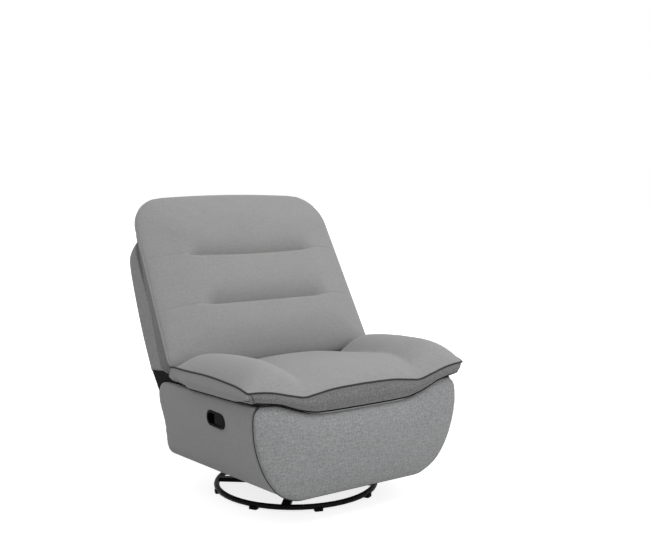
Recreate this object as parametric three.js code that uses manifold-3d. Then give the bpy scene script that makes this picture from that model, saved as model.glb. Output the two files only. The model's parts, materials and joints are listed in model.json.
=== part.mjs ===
// Swivel glider recliner, upright with the footrest folded away.
// Millimetres, +Z up. The front faces -Y, and the release handle is on the -X side.
// Everything is built round the swivel axis, and the last lines put the middle of the footprint on the origin.

import * as THREE from 'three';
import { mergeVertices } from 'three/addons/utils/BufferGeometryUtils.js';
import Module from 'manifold-3d';

const wasm = await Module();
wasm.setup();

// Clearances and common sections
const gap = 0.3; // between pieces that touch
const pinRadius = 5.5; // every pivot pin of the mechanism
const pinPlay = 0.7; // radial, between a pin and its hole
const pinHead = 9; // radius of a pin's head and of its collar
const headThick = 2.2;
const plateThick = 5; // pressed steel plates and links
const washer = 3; // free width between neighbouring plates, filled by the collars
const linkRadius = 13; // half the width of a link
const overrun = 4; // how far a cut runs past the face that it opens
const weldTolerance = 0.0001; // vertices closer than this are one
const curveSteps = 6; // steps of a half round
const cornerSteps = 3; // steps of a rounded corner
const cornerLimitShare = 0.45; // most of an edge that one corner's rounding may take

// Base ring
const ringRadius = 290; // centre line of the floor ring
const ringTube = 10; // radius of its tube
const ringSteps = 48;
const ringSides = 8;
const padHeight = 6; // the ring stands this high on its pads
const padWidth = 22;
const padLength = 30;
const padGrip = 5; // how far a pad reaches up round the tube
const padCount = 8;
const spokePairs = 2; // bars that cross under the hub, two spokes each
const spokeWidth = 33;
const spokeThick = 15;
const spokeTurn = 40.5; // degrees from the front towards the handle side
const hubRadius = 70;
const hubThick = 6;

// Swivel bearing and its bolt
const raceRadius = 85;
const raceBore = 40;
const raceThick = 5.7;
const ballRadius = 3;
const ballCount = 10;
const ballSides = 6;
const cageThick = 2;
const cageWidth = 12;
const kingBoltRadius = 8;
const kingHeadRadius = 14;
const kingHeadThick = 5;
const kingNutThick = 8;
const kingPlay = 0.6;

// Glider carrier: a pan between two upright plates
const panShare = 0.707071; // of the way to a seat side rail, its half width up to the plates
const panRibShare = 0.8; // of that half width, to a rib
const panThick = 4;
const panHalfLength = 158;
const panFlange = 22;
const panRibWidth = 16;
const panRibHeight = 9;
const carrierFootHalf = 162; // half the length of a side plate at its foot
const carrierWaistHalf = 182; // and at its widest
const carrierWaistZ = 106;
const carrierRound = 14;
const hangHalf = 145; // half the distance between front and rear swing arms
const hangZ = 240; // height of their upper pivots
const armLength = 133; // between the pivots of a swing arm
const armThick = 6;
const valleyHalf = 96; // half the width of the dip between the two ears of a side plate
const valleyZ = 150;

// Glide rails and cross tubes of the carriage
const railEndHalf = 259;
const railBand = 13; // half the height of the rail's middle stretch
const railEndZ = 172;
const crossTube = 25; // outside of the square cross tubes
const crossTubeY = 244;
const crossTubeZ = 146;

// Mechanism plates, which carry footrest, back and seat box
const seatRailThick = 22;
const seatRailShare = 0.484108; // of the tub's half width, from the centre plane to a seat side rail
const mechTopZ = 372;
const mechFrontY = -336;
const boltRadius = 7;
const boltHeight = 2;

// Footrest linkage, folded, in (y, z)
const drivePivot = { y: -309, z: 334 };
const liftPivot = { y: -194, z: 201 };
const restPivot = { y: -362, z: 266 };
const guidePivot = { y: -271.7, z: 332.5 };
const guideAlongShare = -0.2; // the guide link's far pivot, along the lift link from its drive end
const guideAside = 20; // and beside the lift link
const driveTube = 20; // outside of the square tube that joins the drive links
const driveTubeShare = 0.52; // along the drive link
const tubeWayShares = [[-0.06, -0.35], [0.11, -0.375], [0.28, -0.27], [0.34, -0.19], [0.52, -0.24], [0.535, -0.35],
  [0.41, -0.51], [0.28, -0.625]]; // the notch that lets the drive tube swing out, from the drive pivot, of the link

// Seat box
const seatDeckZ = 392; // top of the seat box
const seatSideRailZ = 300; // underside of the side rails
const frontRailY = [-375, -345];
const frontRailZ = 358;
const rearRailY = [118, 140];
const rearRailZ = 335;
const springCount = 4;
const springFromRail = 33; // from a side rail to the nearest spring
const springWire = 2; // radius
const springSway = 22; // half the width of the zigzag
const springWaves = 9; // half waves
const springInset = 8; // from a rail's outer face to the end of a spring
const springSteps = 36;
const springEnd = 14; // straight end of a spring on its rail

// Tub: side panels and front panel share one curve
const tubThick = 28;
const tubFrontY = -384;
const tubRearTopY = 298;
const tubRearFootY = 276;
const tubTopFrontZ = 421;
const tubTopRearZ = 391.5;
const tubFootZ = 98;
const tubRearRound = 60;
const tubFootRound = 36;
const tubHalf = 409; // half width at its widest
const tubDepth = 342; // from the foot of its curve to the top of the same curve
const tubCurveShares = [[0.577, 0], [0.648, 0.015], [0.765, 0.082], [0.861, 0.21], [0.932, 0.368], [0.983, 0.561],
  [1, 0.766], [0.993, 1]]; // of its half width and of its depth
const tubSteps = 16;
const apronY = [262, 274];
const apronTopZ = 190;
const apronFootZ = 106;

// Front panel, which is the footrest
const panelRearY = -387.3;
const panelSeamY = -408; // the seam round its face
const panelRoll = 8;
const panelCrown = 9;
const panelTall = 322; // from its foot to its ears
const panelDip = 48; // how far the top edge drops between the ears
const panelSideShares = [[0.577, 0], [0.648, 0.016], [0.765, 0.087], [0.861, 0.224], [0.932, 0.391], [0.983, 0.596],
  [1, 0.783], [0.993, 0.93], [0.949, 1]]; // of the tub's half width and of its own height
const panelTopShares = [[0, 0], [0.33, 0], [0.51, 0.04], [0.61, 0.27], [0.69, 0.5], [0.8, 0.81], [0.9, 1], [1, 1]];
const boardThick = 10;
const boardTopZ = 342;
// The board's outline, of the tub's half width and the panel's height
const boardOutlineShares = [[0.49, 0.06], [0.7, 0.14], [0.84, 0.38], [0.88, 0.62]];
const boardRound = 18;

// Seat cushion
const seatHalf = 446;
const seatFrontY = -419;
const seatRearY = 135;
const seatRearZ = 430;
const seatFoldX = 240; // the valley between the middle and a side bolster
const seatFoldRise = 40;
const seatMiddleRise = 26;
const bolsterRise = 72;
const seatBoxingBulge = 8;
const seatRearInset = 26; // the rear corners are drawn in by this much
const seatFootShare = 0.965; // width of the underside, of the width at the piping
const seatFootZ = 378; // foot of the front boxing in the middle
const seatBoxing = 101; // height from there to the piping at the front corners
const seatSidePipingShares = [[0, 1], [0.11, 1.08], [0.44, 1.12], [0.71, 1.02], [0.95, 0.95], [1, 0.83]];
const seatFrontPipingShares = [[0, 0.733], [0.27, 0.703], [0.45, 0.594], [0.54, 0.545], [0.64, 0.673], [0.785, 0.85],
  [1, 1]];
const seatFrontFootShares = [[0, 0], [0.4, 0.03], [0.545, 0.16], [0.64, 0.307], [0.73, 0.455], [0.93, 0.653],
  [1, 0.683]]; // each is a share of the seat's half width or depth, and of the boxing's height
const seatLip = 38; // how far the front boxing's foot reaches back before the deck
const seatLipStep = 3;
const seatSideStep = 10; // width of the step from deck to side panel top
const seatDeckClear = 3.1; // from that step to the side panel
const seatOverPanel = 10; // height of the cushion's side foot over the side panel

// Back cushion, in its own leaning frame: s runs up the lean, d runs back from its front plane
const backLean = 31.24; // degrees from upright
const backOrigin = { y: 139, z: 574 };
const backFoot = -112;
const backTop = 588;
const backHalfFoot = 428;
const backHalfTop = 412;
const backRoundTop = 133;
const backRoundFoot = 50;
const backPiping = 76; // depth of the piping behind the front plane
const backDepth = 120;
const backCrown = 22;
const backTopArch = 12; // the middle of the top edge stands this much over its ends
const backRearInset = 18; // the rear edge lies this much inside the piping at the top
const backFootRise = 14; // the rear of the underside sits this much higher than its front
const backBoxingBulge = 3;
const channelHeights = [112, 305]; // up the lean
const channelHalves = [246, 256]; // half lengths
const channelDepth = 30;
const channelWidth = 17;
const channelLift = 13; // the ends of a channel sweep up
const channelFade = 26;
const backBoardThick = 12;
const backBoardHalf = 370;
const backBoardFoot = -60;
const backBoardTop = 420;
const backBoardRound = 40;

// Outer back shell
const shellHalf = 401;
const shellTop = 441;
const shellFootFront = -94;
const shellFootRear = -60;
const shellRound = 74;
const shellDepth = 270; // of its rear surface at the foot
const shellDepthShares = [[0, 1], [0.3, 0.981], [0.62, 0.907], [0.82, 0.83], [0.91, 0.741], [0.97, 0.622], [1, 0.537]];
const shellEdgeDrop = 24; // of its rear surface towards its side seams
const skirtHalf = 332;
const skirtY = [314, 324];
const skirtFootZ = 202;
const skirtRound = 3;

// Back posts
const backPivot = { y: 165, z: 215 };
const postRadius = 14;
const postKnee = -98; // s of the knee, where the post turns to follow the lean
const postTop = 105;

// Release handle and trip lever
const cupCentre = { y: -149, z: 336 };
const cupBody = { length: 112, height: 44 };
const cupRim = 3.5; // of the flange round the body
const cupWall = 4;
const cupProud = 2; // outer face of the flange, past the tub's widest
const cupFlangeThick = 4;
const cupDepth = 25;
const spigotRadius = 4;
const spigotLength = 10;
const paddleThick = 5;
const paddleInset = 3; // below the flange face
const paddleHingeIn = 14; // from the cup's front end to the hinge
const paddleEndIn = 10; // from the cup's centre to the free end, on the other side
const paddleBarrel = 3.5;
const paddlePlay = 0.8;
const tripPivot = { y: -196, z: 286 };
const tripNose = { y: -222, z: 279 };
const tripTail = { y: -172, z: 268 };
const tripBoss = 10;
const tripNoseRadius = 6;
const tripTailRadius = 7;
const cableRadius = 3;
const cableHole = 12;
const cableHoleAt = { y: -126, z: 268 };
const cableSteps = 26;
const cableSides = 8;

// Places that follow from the sizes above
const layerPitch = plateThick + washer;
const seatRailInner = tubHalf * seatRailShare;
const springSpan = 2 * (seatRailInner - springFromRail);
const tubTopHalf = tubHalf * tubCurveShares[tubCurveShares.length - 1][0];
const seatDeckHalf = tubTopHalf - tubThick - seatSideStep - seatDeckClear;
const panHalf = seatRailInner * panShare;
const panRibAt = panHalf * panRibShare;
const sidePlateX = panHalf;
const armX = sidePlateX + plateThick + washer;
const railX = armX + armThick + washer;
const mechX = seatRailInner + seatRailThick + gap;
const layerX = (n) => mechX + n * layerPitch;
const ringZ = padHeight + ringTube;
const cupFaceX = tubHalf + cupProud;
const cupFlange = { length: cupBody.length + 2 * cupRim, height: cupBody.height + 2 * cupRim };
const hubZ = ringZ + spokeThick / 2;
const lowerRaceZ = hubZ + hubThick + gap;
const cageZ = lowerRaceZ + raceThick + gap;
const upperRaceZ = cageZ + 2 * ballRadius + gap;
const panZ = upperRaceZ + raceThick + gap;
const armFootZ = hangZ - armLength;
const boardFrontY = panelRearY + gap;
const pinHole = pinRadius + pinPlay;
const driveLength = Math.hypot(liftPivot.y - drivePivot.y, liftPivot.z - drivePivot.z);

// Finishes
const finish = (color, roughness, metalness) => new THREE.MeshStandardMaterial({ color, roughness, metalness });
const plainFabric = finish('#97979a', 0.95, 0);
const coarseFabric = finish('#86868a', 0.97, 0);
const blackSteel = finish('#15151a', 0.45, 0.6);
const zincSteel = finish('#a9abae', 0.4, 0.9);
const springSteel = finish('#4a4b4e', 0.4, 0.8);
const blackPlastic = finish('#121214', 0.5, 0);
const hardwood = finish('#b98f5f', 0.7, 0);
const plywood = finish('#c8a26e', 0.75, 0);
const blackCloth = finish('#1b1b1d', 0.95, 0);

const chair = new THREE.Group();

// Adds one piece under its own name.
function piece(name, geometry, material) {
  const mesh = new THREE.Mesh(geometry, material);
  mesh.name = name;
  chair.add(mesh);
}

// A closed solid for joins and cuts.
function solidOf(geometry) {
  const bare = geometry.clone();
  bare.deleteAttribute('normal');
  bare.deleteAttribute('uv');
  const merged = mergeVertices(bare, weldTolerance);
  const vertProperties = new Float32Array(merged.attributes.position.array);
  const triVerts = new Uint32Array(merged.index.array);
  return new wasm.Manifold(new wasm.Mesh({ numProp: 3, vertProperties, triVerts }));
}

function geometryOf(solid) {
  const mesh = solid.getMesh();
  const geometry = new THREE.BufferGeometry();
  geometry.setAttribute('position', new THREE.BufferAttribute(new Float32Array(mesh.vertProperties), 3));
  geometry.setIndex(new THREE.BufferAttribute(new Uint32Array(mesh.triVerts), 1));
  geometry.computeVertexNormals();
  return geometry;
}

function join(...geometries) {
  return geometryOf(geometries.map(solidOf).reduce((whole, next) => whole.add(next)));
}

function cut(geometry, ...tools) {
  return geometryOf(tools.map(solidOf).reduce((whole, tool) => whole.subtract(tool), solidOf(geometry)));
}

function common(a, b) {
  return geometryOf(solidOf(a).intersect(solidOf(b)));
}

const alongX = new THREE.Vector3(1, 0, 0);
const alongY = new THREE.Vector3(0, 1, 0);
const alongZ = new THREE.Vector3(0, 0, 1);

// An outline in (y, z), given thickness along X between two planes on one side of the chair.
function plateYZ(outline, side, near, far) {
  const options = { depth: far - near, bevelEnabled: false, curveSegments: curveSteps };
  const plate = new THREE.ExtrudeGeometry(outline, options);
  plate.applyMatrix4(new THREE.Matrix4().makeBasis(alongY, alongZ, alongX));
  plate.translate(side > 0 ? near : -far, 0, 0);
  return plate;
}

// An outline in (x, z), given thickness along Y.
function plateXZ(outline, nearY, farY) {
  const options = { depth: farY - nearY, bevelEnabled: false, curveSegments: curveSteps };
  const plate = new THREE.ExtrudeGeometry(outline, options);
  plate.applyMatrix4(new THREE.Matrix4().makeBasis(alongX, alongZ, alongY.clone().negate()));
  plate.translate(0, farY, 0);
  return plate;
}

// A round bar along X on one side of the chair.
function barX(radius, side, near, far, at, sides = 2 * curveSteps) {
  const bar = new THREE.CylinderGeometry(radius, radius, far - near, sides);
  bar.rotateZ(Math.PI / 2);
  bar.translate(side * (near + far) / 2, at.y, at.z);
  return bar;
}

function block(lowX, highX, lowY, highY, lowZ, highZ) {
  const box = new THREE.BoxGeometry(highX - lowX, highY - lowY, highZ - lowZ);
  box.translate((lowX + highX) / 2, (lowY + highY) / 2, (lowZ + highZ) / 2);
  return box;
}

// A closed outline through corner points, each corner rounded by cutting it back.
function roundedOutline(points, rounds) {
  const corners = points.map(([a, b]) => new THREE.Vector2(a, b));
  return new THREE.Shape(corners.flatMap((corner, i) => {
    const round = Array.isArray(rounds) ? rounds[i] : rounds;
    if (round === 0) return [corner];
    const before = corners[(i + corners.length - 1) % corners.length];
    const after = corners[(i + 1) % corners.length];
    const back = (other) => {
      const reach = Math.min(round, corner.distanceTo(other) * cornerLimitShare);
      return corner.clone().add(other.clone().sub(corner).setLength(reach));
    };
    return new THREE.QuadraticBezierCurve(back(before), corner, back(after)).getPoints(cornerSteps);
  }));
}

// A bar with round ends between two places.
function linkOutline(a, b, radius) {
  const turn = Math.atan2(b.z - a.z, b.y - a.y);
  const shape = new THREE.Shape();
  shape.absarc(b.y, b.z, radius, turn - Math.PI / 2, turn + Math.PI / 2, false);
  shape.absarc(a.y, a.z, radius, turn + Math.PI / 2, turn + 1.5 * Math.PI, false);
  shape.closePath();
  return shape;
}

function withHole(outline, at, radius) {
  const hole = new THREE.Path();
  hole.absarc(at.y, at.z, radius, 0, 2 * Math.PI, true);
  outline.holes.push(hole);
  return outline;
}

// A pin that starts on a plate's face and carries a plate some layers further out, with collar and head.
// It runs outwards, or inwards when its direction is -1.
function pivotPin(side, faceX, at, carried, direction = 1, layers = 1) {
  const span = (from, to) => [faceX + direction * from, faceX + direction * to].sort((p, q) => p - q);
  const carriedFrom = washer + (layers - 1) * layerPitch;
  const headFrom = carriedFrom + carried + gap;
  const collar = barX(pinHead, side, ...span(-gap, carriedFrom - gap), at);
  const shaft = barX(pinRadius, side, ...span(-gap, headFrom + gap), at);
  const head = barX(pinHead, side, ...span(headFrom, headFrom + headThick), at);
  return [collar, shaft, head];
}

// Reads a table of [place, value] pairs as a smooth curve.
function reading(table) {
  return (place) => {
    const last = table.length - 1;
    if (place <= table[0][0]) return table[0][1];
    if (place >= table[last][0]) return table[last][1];
    const i = table.findIndex(([at]) => at > place) - 1;
    const [a, b] = [table[i], table[i + 1]];
    const t = (place - a[0]) / (b[0] - a[0]);
    const slope = (j) => {
      const [p, q] = [table[Math.max(j - 1, 0)], table[Math.min(j + 1, last)]];
      return (q[1] - p[1]) / (q[0] - p[0]) * (b[0] - a[0]);
    };
    const [m, n] = [slope(i), slope(i + 1)];
    const t2 = t * t;
    const t3 = t2 * t;
    return (2 * t3 - 3 * t2 + 1) * a[1] + (t3 - 2 * t2 + t) * m + (3 * t2 - 2 * t3) * b[1] + (t3 - t2) * n;
  };
}

// A stuffed form: two surfaces over the same square of u (-1 to 1) and v (0 to 1), closed by a rim that can bulge.
// Each surface, and the rim's middle line, maps (u, v) to a point.
function stuffed(us, vs, face, back, rim) {
  const points = [];
  const index = [];
  const add = (point) => points.push(point) - 1;
  const faceAt = vs.map((v) => us.map((u) => add(face(u, v))));
  const backAt = vs.map((v) => us.map((u) => add(back(u, v))));
  const quad = (a, b, c, d) => index.push(a, b, c, a, c, d);
  for (let j = 0; j + 1 < vs.length; j++) {
    for (let i = 0; i + 1 < us.length; i++) {
      quad(faceAt[j][i], faceAt[j][i + 1], faceAt[j + 1][i + 1], faceAt[j + 1][i]);
      quad(backAt[j][i], backAt[j + 1][i], backAt[j + 1][i + 1], backAt[j][i + 1]);
    }
  }
  const loop = [];
  us.slice(0, -1).forEach((u, i) => loop.push([0, i]));
  vs.slice(0, -1).forEach((v, j) => loop.push([j, us.length - 1]));
  us.slice(1).forEach((u, i) => loop.push([vs.length - 1, us.length - 1 - i]));
  vs.slice(1).forEach((v, j) => loop.push([vs.length - 1 - j, 0]));
  const rimAt = loop.map(([j, i]) => add(rim(us[i], vs[j])));
  loop.forEach(([j, i], k) => {
    const next = (k + 1) % loop.length;
    const [nj, ni] = loop[next];
    quad(faceAt[j][i], rimAt[k], rimAt[next], faceAt[nj][ni]);
    quad(rimAt[k], backAt[j][i], backAt[nj][ni], rimAt[next]);
  });
  return closedForm(points, index);
}

// Points and triangles as a geometry whose faces point out.
function closedForm(points, index) {
  let volume = 0;
  for (let i = 0; i < index.length; i += 3) {
    const [a, b, c] = [points[index[i]], points[index[i + 1]], points[index[i + 2]]];
    volume += a.dot(b.clone().cross(c));
  }
  if (volume < 0) {
    index.reverse();
  }
  const geometry = new THREE.BufferGeometry().setFromPoints(points);
  geometry.setIndex(index);
  geometry.computeVertexNormals();
  return geometry;
}

// A profile of [radius, height] places revolved round the swivel axis.
function revolved(profile, steps) {
  const lathe = new THREE.LatheGeometry(profile.map(([r, z]) => new THREE.Vector2(r, z)), steps);
  lathe.rotateX(Math.PI / 2);
  const place = lathe.attributes.position;
  const points = Array.from({ length: place.count }, (_, i) => new THREE.Vector3().fromBufferAttribute(place, i));
  return closedForm(points, Array.from(lathe.index.array));
}

const mirrored = (halfShares) => [...halfShares.slice(1).reverse().map((u) => -u), ...halfShares];
const lerp = THREE.MathUtils.lerp;
const smooth = THREE.MathUtils.smoothstep;

// The tub's outer curve on one side, moved inwards by some amount.
const tubSpline = new THREE.SplineCurve(tubCurveShares.map(([out, up]) =>
  new THREE.Vector2(out * tubHalf, tubFootZ + up * tubDepth)));
function tubLine(inwards) {
  return tubSpline.getSpacedPoints(tubSteps).map((point, i) => {
    const along = tubSpline.getTangentAt(i / tubSteps);
    return new THREE.Vector2(point.x - along.y * inwards, point.y + along.x * inwards);
  });
}

// Tub height of the sloping top edge at a place along the side.
function tubTopAt(y) {
  const share = (y - tubFrontY) / (tubRearTopY - tubFrontY);
  return lerp(tubTopFrontZ, tubTopRearZ, share);
}

// Floor ring with its spokes and hub, one weldment.
function baseRing() {
  const profile = Array.from({ length: ringSides + 1 }, (_, i) => {
    const angle = (i % ringSides) * 2 * Math.PI / ringSides;
    return [ringRadius + ringTube * Math.cos(angle), ringTube * Math.sin(angle)];
  });
  const ring = revolved(profile, ringSteps);
  ring.rotateZ(Math.PI / ringSteps - THREE.MathUtils.degToRad(spokeTurn));
  ring.translate(0, 0, ringZ);
  const parts = [ring];
  for (let k = 0; k < spokePairs; k++) {
    const spoke = roundedOutline([[-spokeWidth / 2, -spokeThick / 2], [spokeWidth / 2, -spokeThick / 2],
      [spokeWidth / 2, spokeThick / 2], [-spokeWidth / 2, spokeThick / 2]], spokeThick / 3);
    const bar = new THREE.ExtrudeGeometry(spoke, { depth: 2 * ringRadius, bevelEnabled: false, curveSegments: 2 });
    bar.rotateX(Math.PI / 2);
    bar.translate(0, ringRadius, ringZ);
    bar.rotateZ(-THREE.MathUtils.degToRad(spokeTurn) - k * Math.PI / spokePairs);
    parts.push(bar);
  }
  const hub = new THREE.CylinderGeometry(hubRadius, hubRadius, hubThick + spokeThick / 2, 2 * ringSides);
  hub.rotateX(Math.PI / 2);
  hub.translate(0, 0, hubZ + hubThick / 2 - spokeThick / 4);
  parts.push(hub);
  const bore = new THREE.CylinderGeometry(kingBoltRadius + kingPlay, kingBoltRadius + kingPlay,
    2 * (spokeThick + hubThick + overrun), 2 * ringSides);
  bore.rotateX(Math.PI / 2);
  bore.translate(0, 0, ringZ);
  return cut(join(...parts), bore);
}

// Floor pads, each with a saddle for the tube.
function glidePad(k) {
  const angle = -Math.PI / 2 - THREE.MathUtils.degToRad(spokeTurn) + (k + 0.5) * 2 * Math.PI / padCount;
  const foot = roundedOutline([[-padWidth / 2, -padLength / 2], [padWidth / 2, -padLength / 2],
    [padWidth / 2, padLength / 2], [-padWidth / 2, padLength / 2]], padWidth / 4);
  const pad = new THREE.ExtrudeGeometry(foot,
    { depth: padHeight + padGrip, bevelEnabled: false, curveSegments: 2 });
  const saddle = new THREE.CylinderGeometry(ringTube + gap, ringTube + gap, padLength + overrun, 2 * ringSides);
  saddle.translate(-ringRadius * (1 - Math.cos(Math.PI / ringSteps)), 0, ringZ);
  const shaped = cut(pad, saddle);
  shaped.translate(ringRadius, 0, 0);
  shaped.rotateZ(angle);
  return shaped;
}

// A flat ring revolved round the swivel axis, from its inner to its outer radius.
function flatRing(inner, outer, low, high) {
  return revolved([[inner, low], [outer, low], [outer, high], [inner, high], [inner, low]], 2 * ringSides);
}

// Ball cage: a thin ring with its balls.
function ballCage() {
  const middle = (raceBore + raceRadius) / 2;
  const height = cageZ + ballRadius;
  const ring = flatRing(middle - cageWidth / 2, middle + cageWidth / 2,
    height - cageThick / 2, height + cageThick / 2);
  const balls = Array.from({ length: ballCount }, (_, k) => {
    const ball = new THREE.SphereGeometry(ballRadius, ballSides, ballSides / 2);
    ball.rotateX(Math.PI / 2);
    ball.translate(middle, 0, height);
    ball.rotateZ(k * 2 * Math.PI / ballCount);
    return ball;
  });
  return join(ring, ...balls);
}

// King bolt: head under the hub, shaft through the bearing, nut on the pan.
function kingBolt() {
  const headTop = ringZ - spokeThick / 2 - gap;
  const nutFoot = panZ + panThick + gap;
  const profile = [[0, headTop - kingHeadThick], [kingHeadRadius, headTop - kingHeadThick],
    [kingHeadRadius, headTop], [kingBoltRadius, headTop], [kingBoltRadius, nutFoot],
    [kingHeadRadius, nutFoot], [kingHeadRadius, nutFoot + kingNutThick], [0, nutFoot + kingNutThick]];
  return revolved(profile, 2 * curveSteps);
}

// Glider pan: one pressed sheet with two stiffening ribs and upturned edges.
function gliderPan() {
  const ribIn = panRibAt - panRibWidth / 2;
  const ribOut = panRibAt + panRibWidth / 2;
  const edge = panHalf - gap;
  const half = [[ribIn - panRibHeight / 2, 0], [ribIn, panRibHeight], [ribOut, panRibHeight],
    [ribOut + panRibHeight / 2, 0], [edge - panThick, 0], [edge - panThick, panFlange], [edge, panFlange]];
  const under = [[edge, -panThick], [ribOut + panRibHeight / 2, -panThick], [ribOut, panRibHeight - panThick],
    [ribIn, panRibHeight - panThick], [ribIn - panRibHeight / 2, -panThick]];
  const line = [...half, ...under];
  const left = line.map(([x, z]) => [-x, z]).reverse();
  const shape = new THREE.Shape([...line, ...left].map(([x, z]) => new THREE.Vector2(x, z)));
  const pan = plateXZ(shape, -panHalfLength, panHalfLength);
  pan.translate(0, 0, panZ + panThick);
  const bore = new THREE.CylinderGeometry(kingBoltRadius + kingPlay, kingBoltRadius + kingPlay,
    2 * overrun + panThick, 2 * curveSteps);
  bore.rotateX(Math.PI / 2);
  bore.translate(0, 0, panZ + panThick / 2);
  return cut(pan, bore);
}

// Carrier side plate: a long foot and two ears that the swing arms hang from.
function carrierPlate(side) {
  const ear = hangHalf + linkRadius + plateThick;
  const top = hangZ + linkRadius + plateThick;
  const earIn = hangHalf - linkRadius - plateThick;
  const right = [[carrierFootHalf, panZ], [carrierWaistHalf, carrierWaistZ], [ear, top], [earIn, top],
    [valleyHalf, valleyZ]];
  const left = right.map(([y, z]) => [-y, z]).reverse();
  const outline = roundedOutline([...right, ...left], carrierRound);
  const plate = plateYZ(outline, side, sidePlateX, sidePlateX + plateThick);
  const pins = [-1, 1].flatMap((end) =>
    pivotPin(side, sidePlateX + plateThick, { y: end * hangHalf, z: hangZ }, armThick));
  return join(plate, ...pins);
}

// Swing arm between carrier and glide rail.
function swingArm(side, end) {
  const top = { y: end * hangHalf, z: hangZ };
  const foot = { y: end * hangHalf, z: armFootZ };
  const outline = withHole(withHole(linkOutline(foot, top, linkRadius), top, pinHole), foot, pinHole);
  return plateYZ(outline, side, armX, armX + armThick);
}

// Glide rail: a low bar on the arms' feet, with raised ends for the cross tubes.
function glideRail(side) {
  const low = armFootZ - railBand;
  const high = armFootZ + railBand;
  const right = [[hangHalf + 2 * linkRadius, low], [railEndHalf, crossTubeZ - crossTube],
    [railEndHalf, railEndZ], [crossTubeY - crossTube, railEndZ], [hangHalf + 2 * linkRadius, high]];
  const left = right.map(([y, z]) => [-y, z]).reverse();
  const plate = plateYZ(roundedOutline([...right, ...left], railBand / 2), side, railX, railX + plateThick);
  const pins = [-1, 1].flatMap((end) =>
    pivotPin(side, railX, { y: end * hangHalf, z: armFootZ }, armThick, -1));
  const sockets = [-1, 1].map((end) => tubeSocket(side, end, railX, gap));
  return cut(join(plate, ...pins), ...sockets);
}

// The square hole that a cross tube passes through in a rail.
function tubeSocket(side, end, plateX, play) {
  const reach = crossTube / 2 + play;
  const near = side > 0 ? plateX - overrun : -plateX - plateThick - overrun;
  return block(near, near + plateThick + 2 * overrun, end * crossTubeY - reach, end * crossTubeY + reach,
    crossTubeZ - reach, crossTubeZ + reach);
}

// Mechanism plate: carries cross tubes, footrest links, back post and seat rail.
function mechanismPlate(side) {
  const rearY = railEndHalf;
  const outline = roundedOutline([
    [-railEndHalf, crossTubeZ - crossTube], [-hangHalf, crossTubeZ - crossTube / 2],
    [hangHalf, crossTubeZ - crossTube / 2], [rearY, crossTubeZ - crossTube],
    [rearY, railEndZ], [backPivot.y + 2 * postRadius, backPivot.z + 2 * postRadius],
    [rearRailY[0] - plateThick, rearRailZ - plateThick],
    [rearRailY[0] - plateThick, mechTopZ], [mechFrontY, mechTopZ], [mechFrontY, drivePivot.z - 2 * linkRadius],
    ...tubeWayShares.map(([y, z]) => [drivePivot.y + y * driveLength, drivePivot.z + z * driveLength]),
  ], linkRadius);
  withHole(outline, cableHoleAt, cableHole);
  const plate = plateYZ(outline, side, mechX, mechX + plateThick);
  const outer = mechX + plateThick;
  const parts = [plate, ...pivotPin(side, outer, drivePivot, plateThick),
    ...pivotPin(side, outer, backPivot, plateThick), ...pivotPin(side, outer, guidePivot, plateThick, 1, 3)];
  [-0.5, 0, 0.5].forEach((share) => {
    const at = { y: share * seatSideLength() - linkRadius * 6, z: (seatSideRailZ + mechTopZ) / 2 };
    parts.push(barX(boltRadius, side, outer - gap, outer + boltHeight, at, curveSteps));
  });
  if (side < 0) {
    parts.push(...pivotPin(side, mechX, tripPivot, plateThick, -1));
  }
  return join(...parts);
}

function seatSideLength() {
  return (rearRailY[0] - frontRailY[1]) * 0.75;
}

// Link with a hole at its first end and, at its second, a hole or a pin for the next layer out.
function driveLink(side) {
  const outline = withHole(linkOutline(drivePivot, liftPivot, linkRadius), drivePivot, pinHole);
  const inner = layerX(1);
  const pins = pivotPin(side, inner + plateThick, liftPivot, plateThick);
  return join(plateYZ(outline, side, inner, inner + plateThick), ...pins);
}

// Where the guide link meets the lift link.
function guideEnd() {
  const along = { y: restPivot.y - liftPivot.y, z: restPivot.z - liftPivot.z };
  const length = Math.hypot(along.y, along.z);
  return {
    y: liftPivot.y + along.y * guideAlongShare + along.z / length * guideAside,
    z: liftPivot.z + along.z * guideAlongShare - along.y / length * guideAside,
  };
}

// Lift link, with a short arm beyond its drive end for the guide link.
function liftLink(side) {
  const span = [layerX(2), layerX(2) + plateThick];
  const bar = plateYZ(linkOutline(liftPivot, restPivot, linkRadius), side, ...span);
  const arm = plateYZ(linkOutline(liftPivot, guideEnd(), linkRadius), side, ...span);
  const bores = [liftPivot, restPivot].map((at) => barX(pinHole, side, span[0] - overrun, span[1] + overrun, at));
  return cut(join(bar, arm), ...bores);
}

// Guide link, which holds the lift link's angle. Its stub stops just short of the lift link.
function guideLink(side) {
  const span = [layerX(3), layerX(3) + plateThick];
  const outline = withHole(linkOutline(guidePivot, guideEnd(), linkRadius), guidePivot, pinHole);
  const stub = barX(pinHead, side, span[0] - washer + gap, span[0] + gap, guideEnd());
  return join(plateYZ(outline, side, ...span), stub);
}

// Square tube that makes the two drive links turn together.
function driveCrossTube() {
  const middle = {
    y: lerp(drivePivot.y, liftPivot.y, driveTubeShare),
    z: lerp(drivePivot.z, liftPivot.z, driveTubeShare),
  };
  const half = layerX(1) - gap;
  const tube = block(-half, half, -driveTube / 2, driveTube / 2, -driveTube / 2, driveTube / 2);
  tube.rotateX(Math.atan2(liftPivot.z - drivePivot.z, liftPivot.y - drivePivot.y));
  tube.translate(0, middle.y, middle.z);
  return tube;
}

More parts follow.
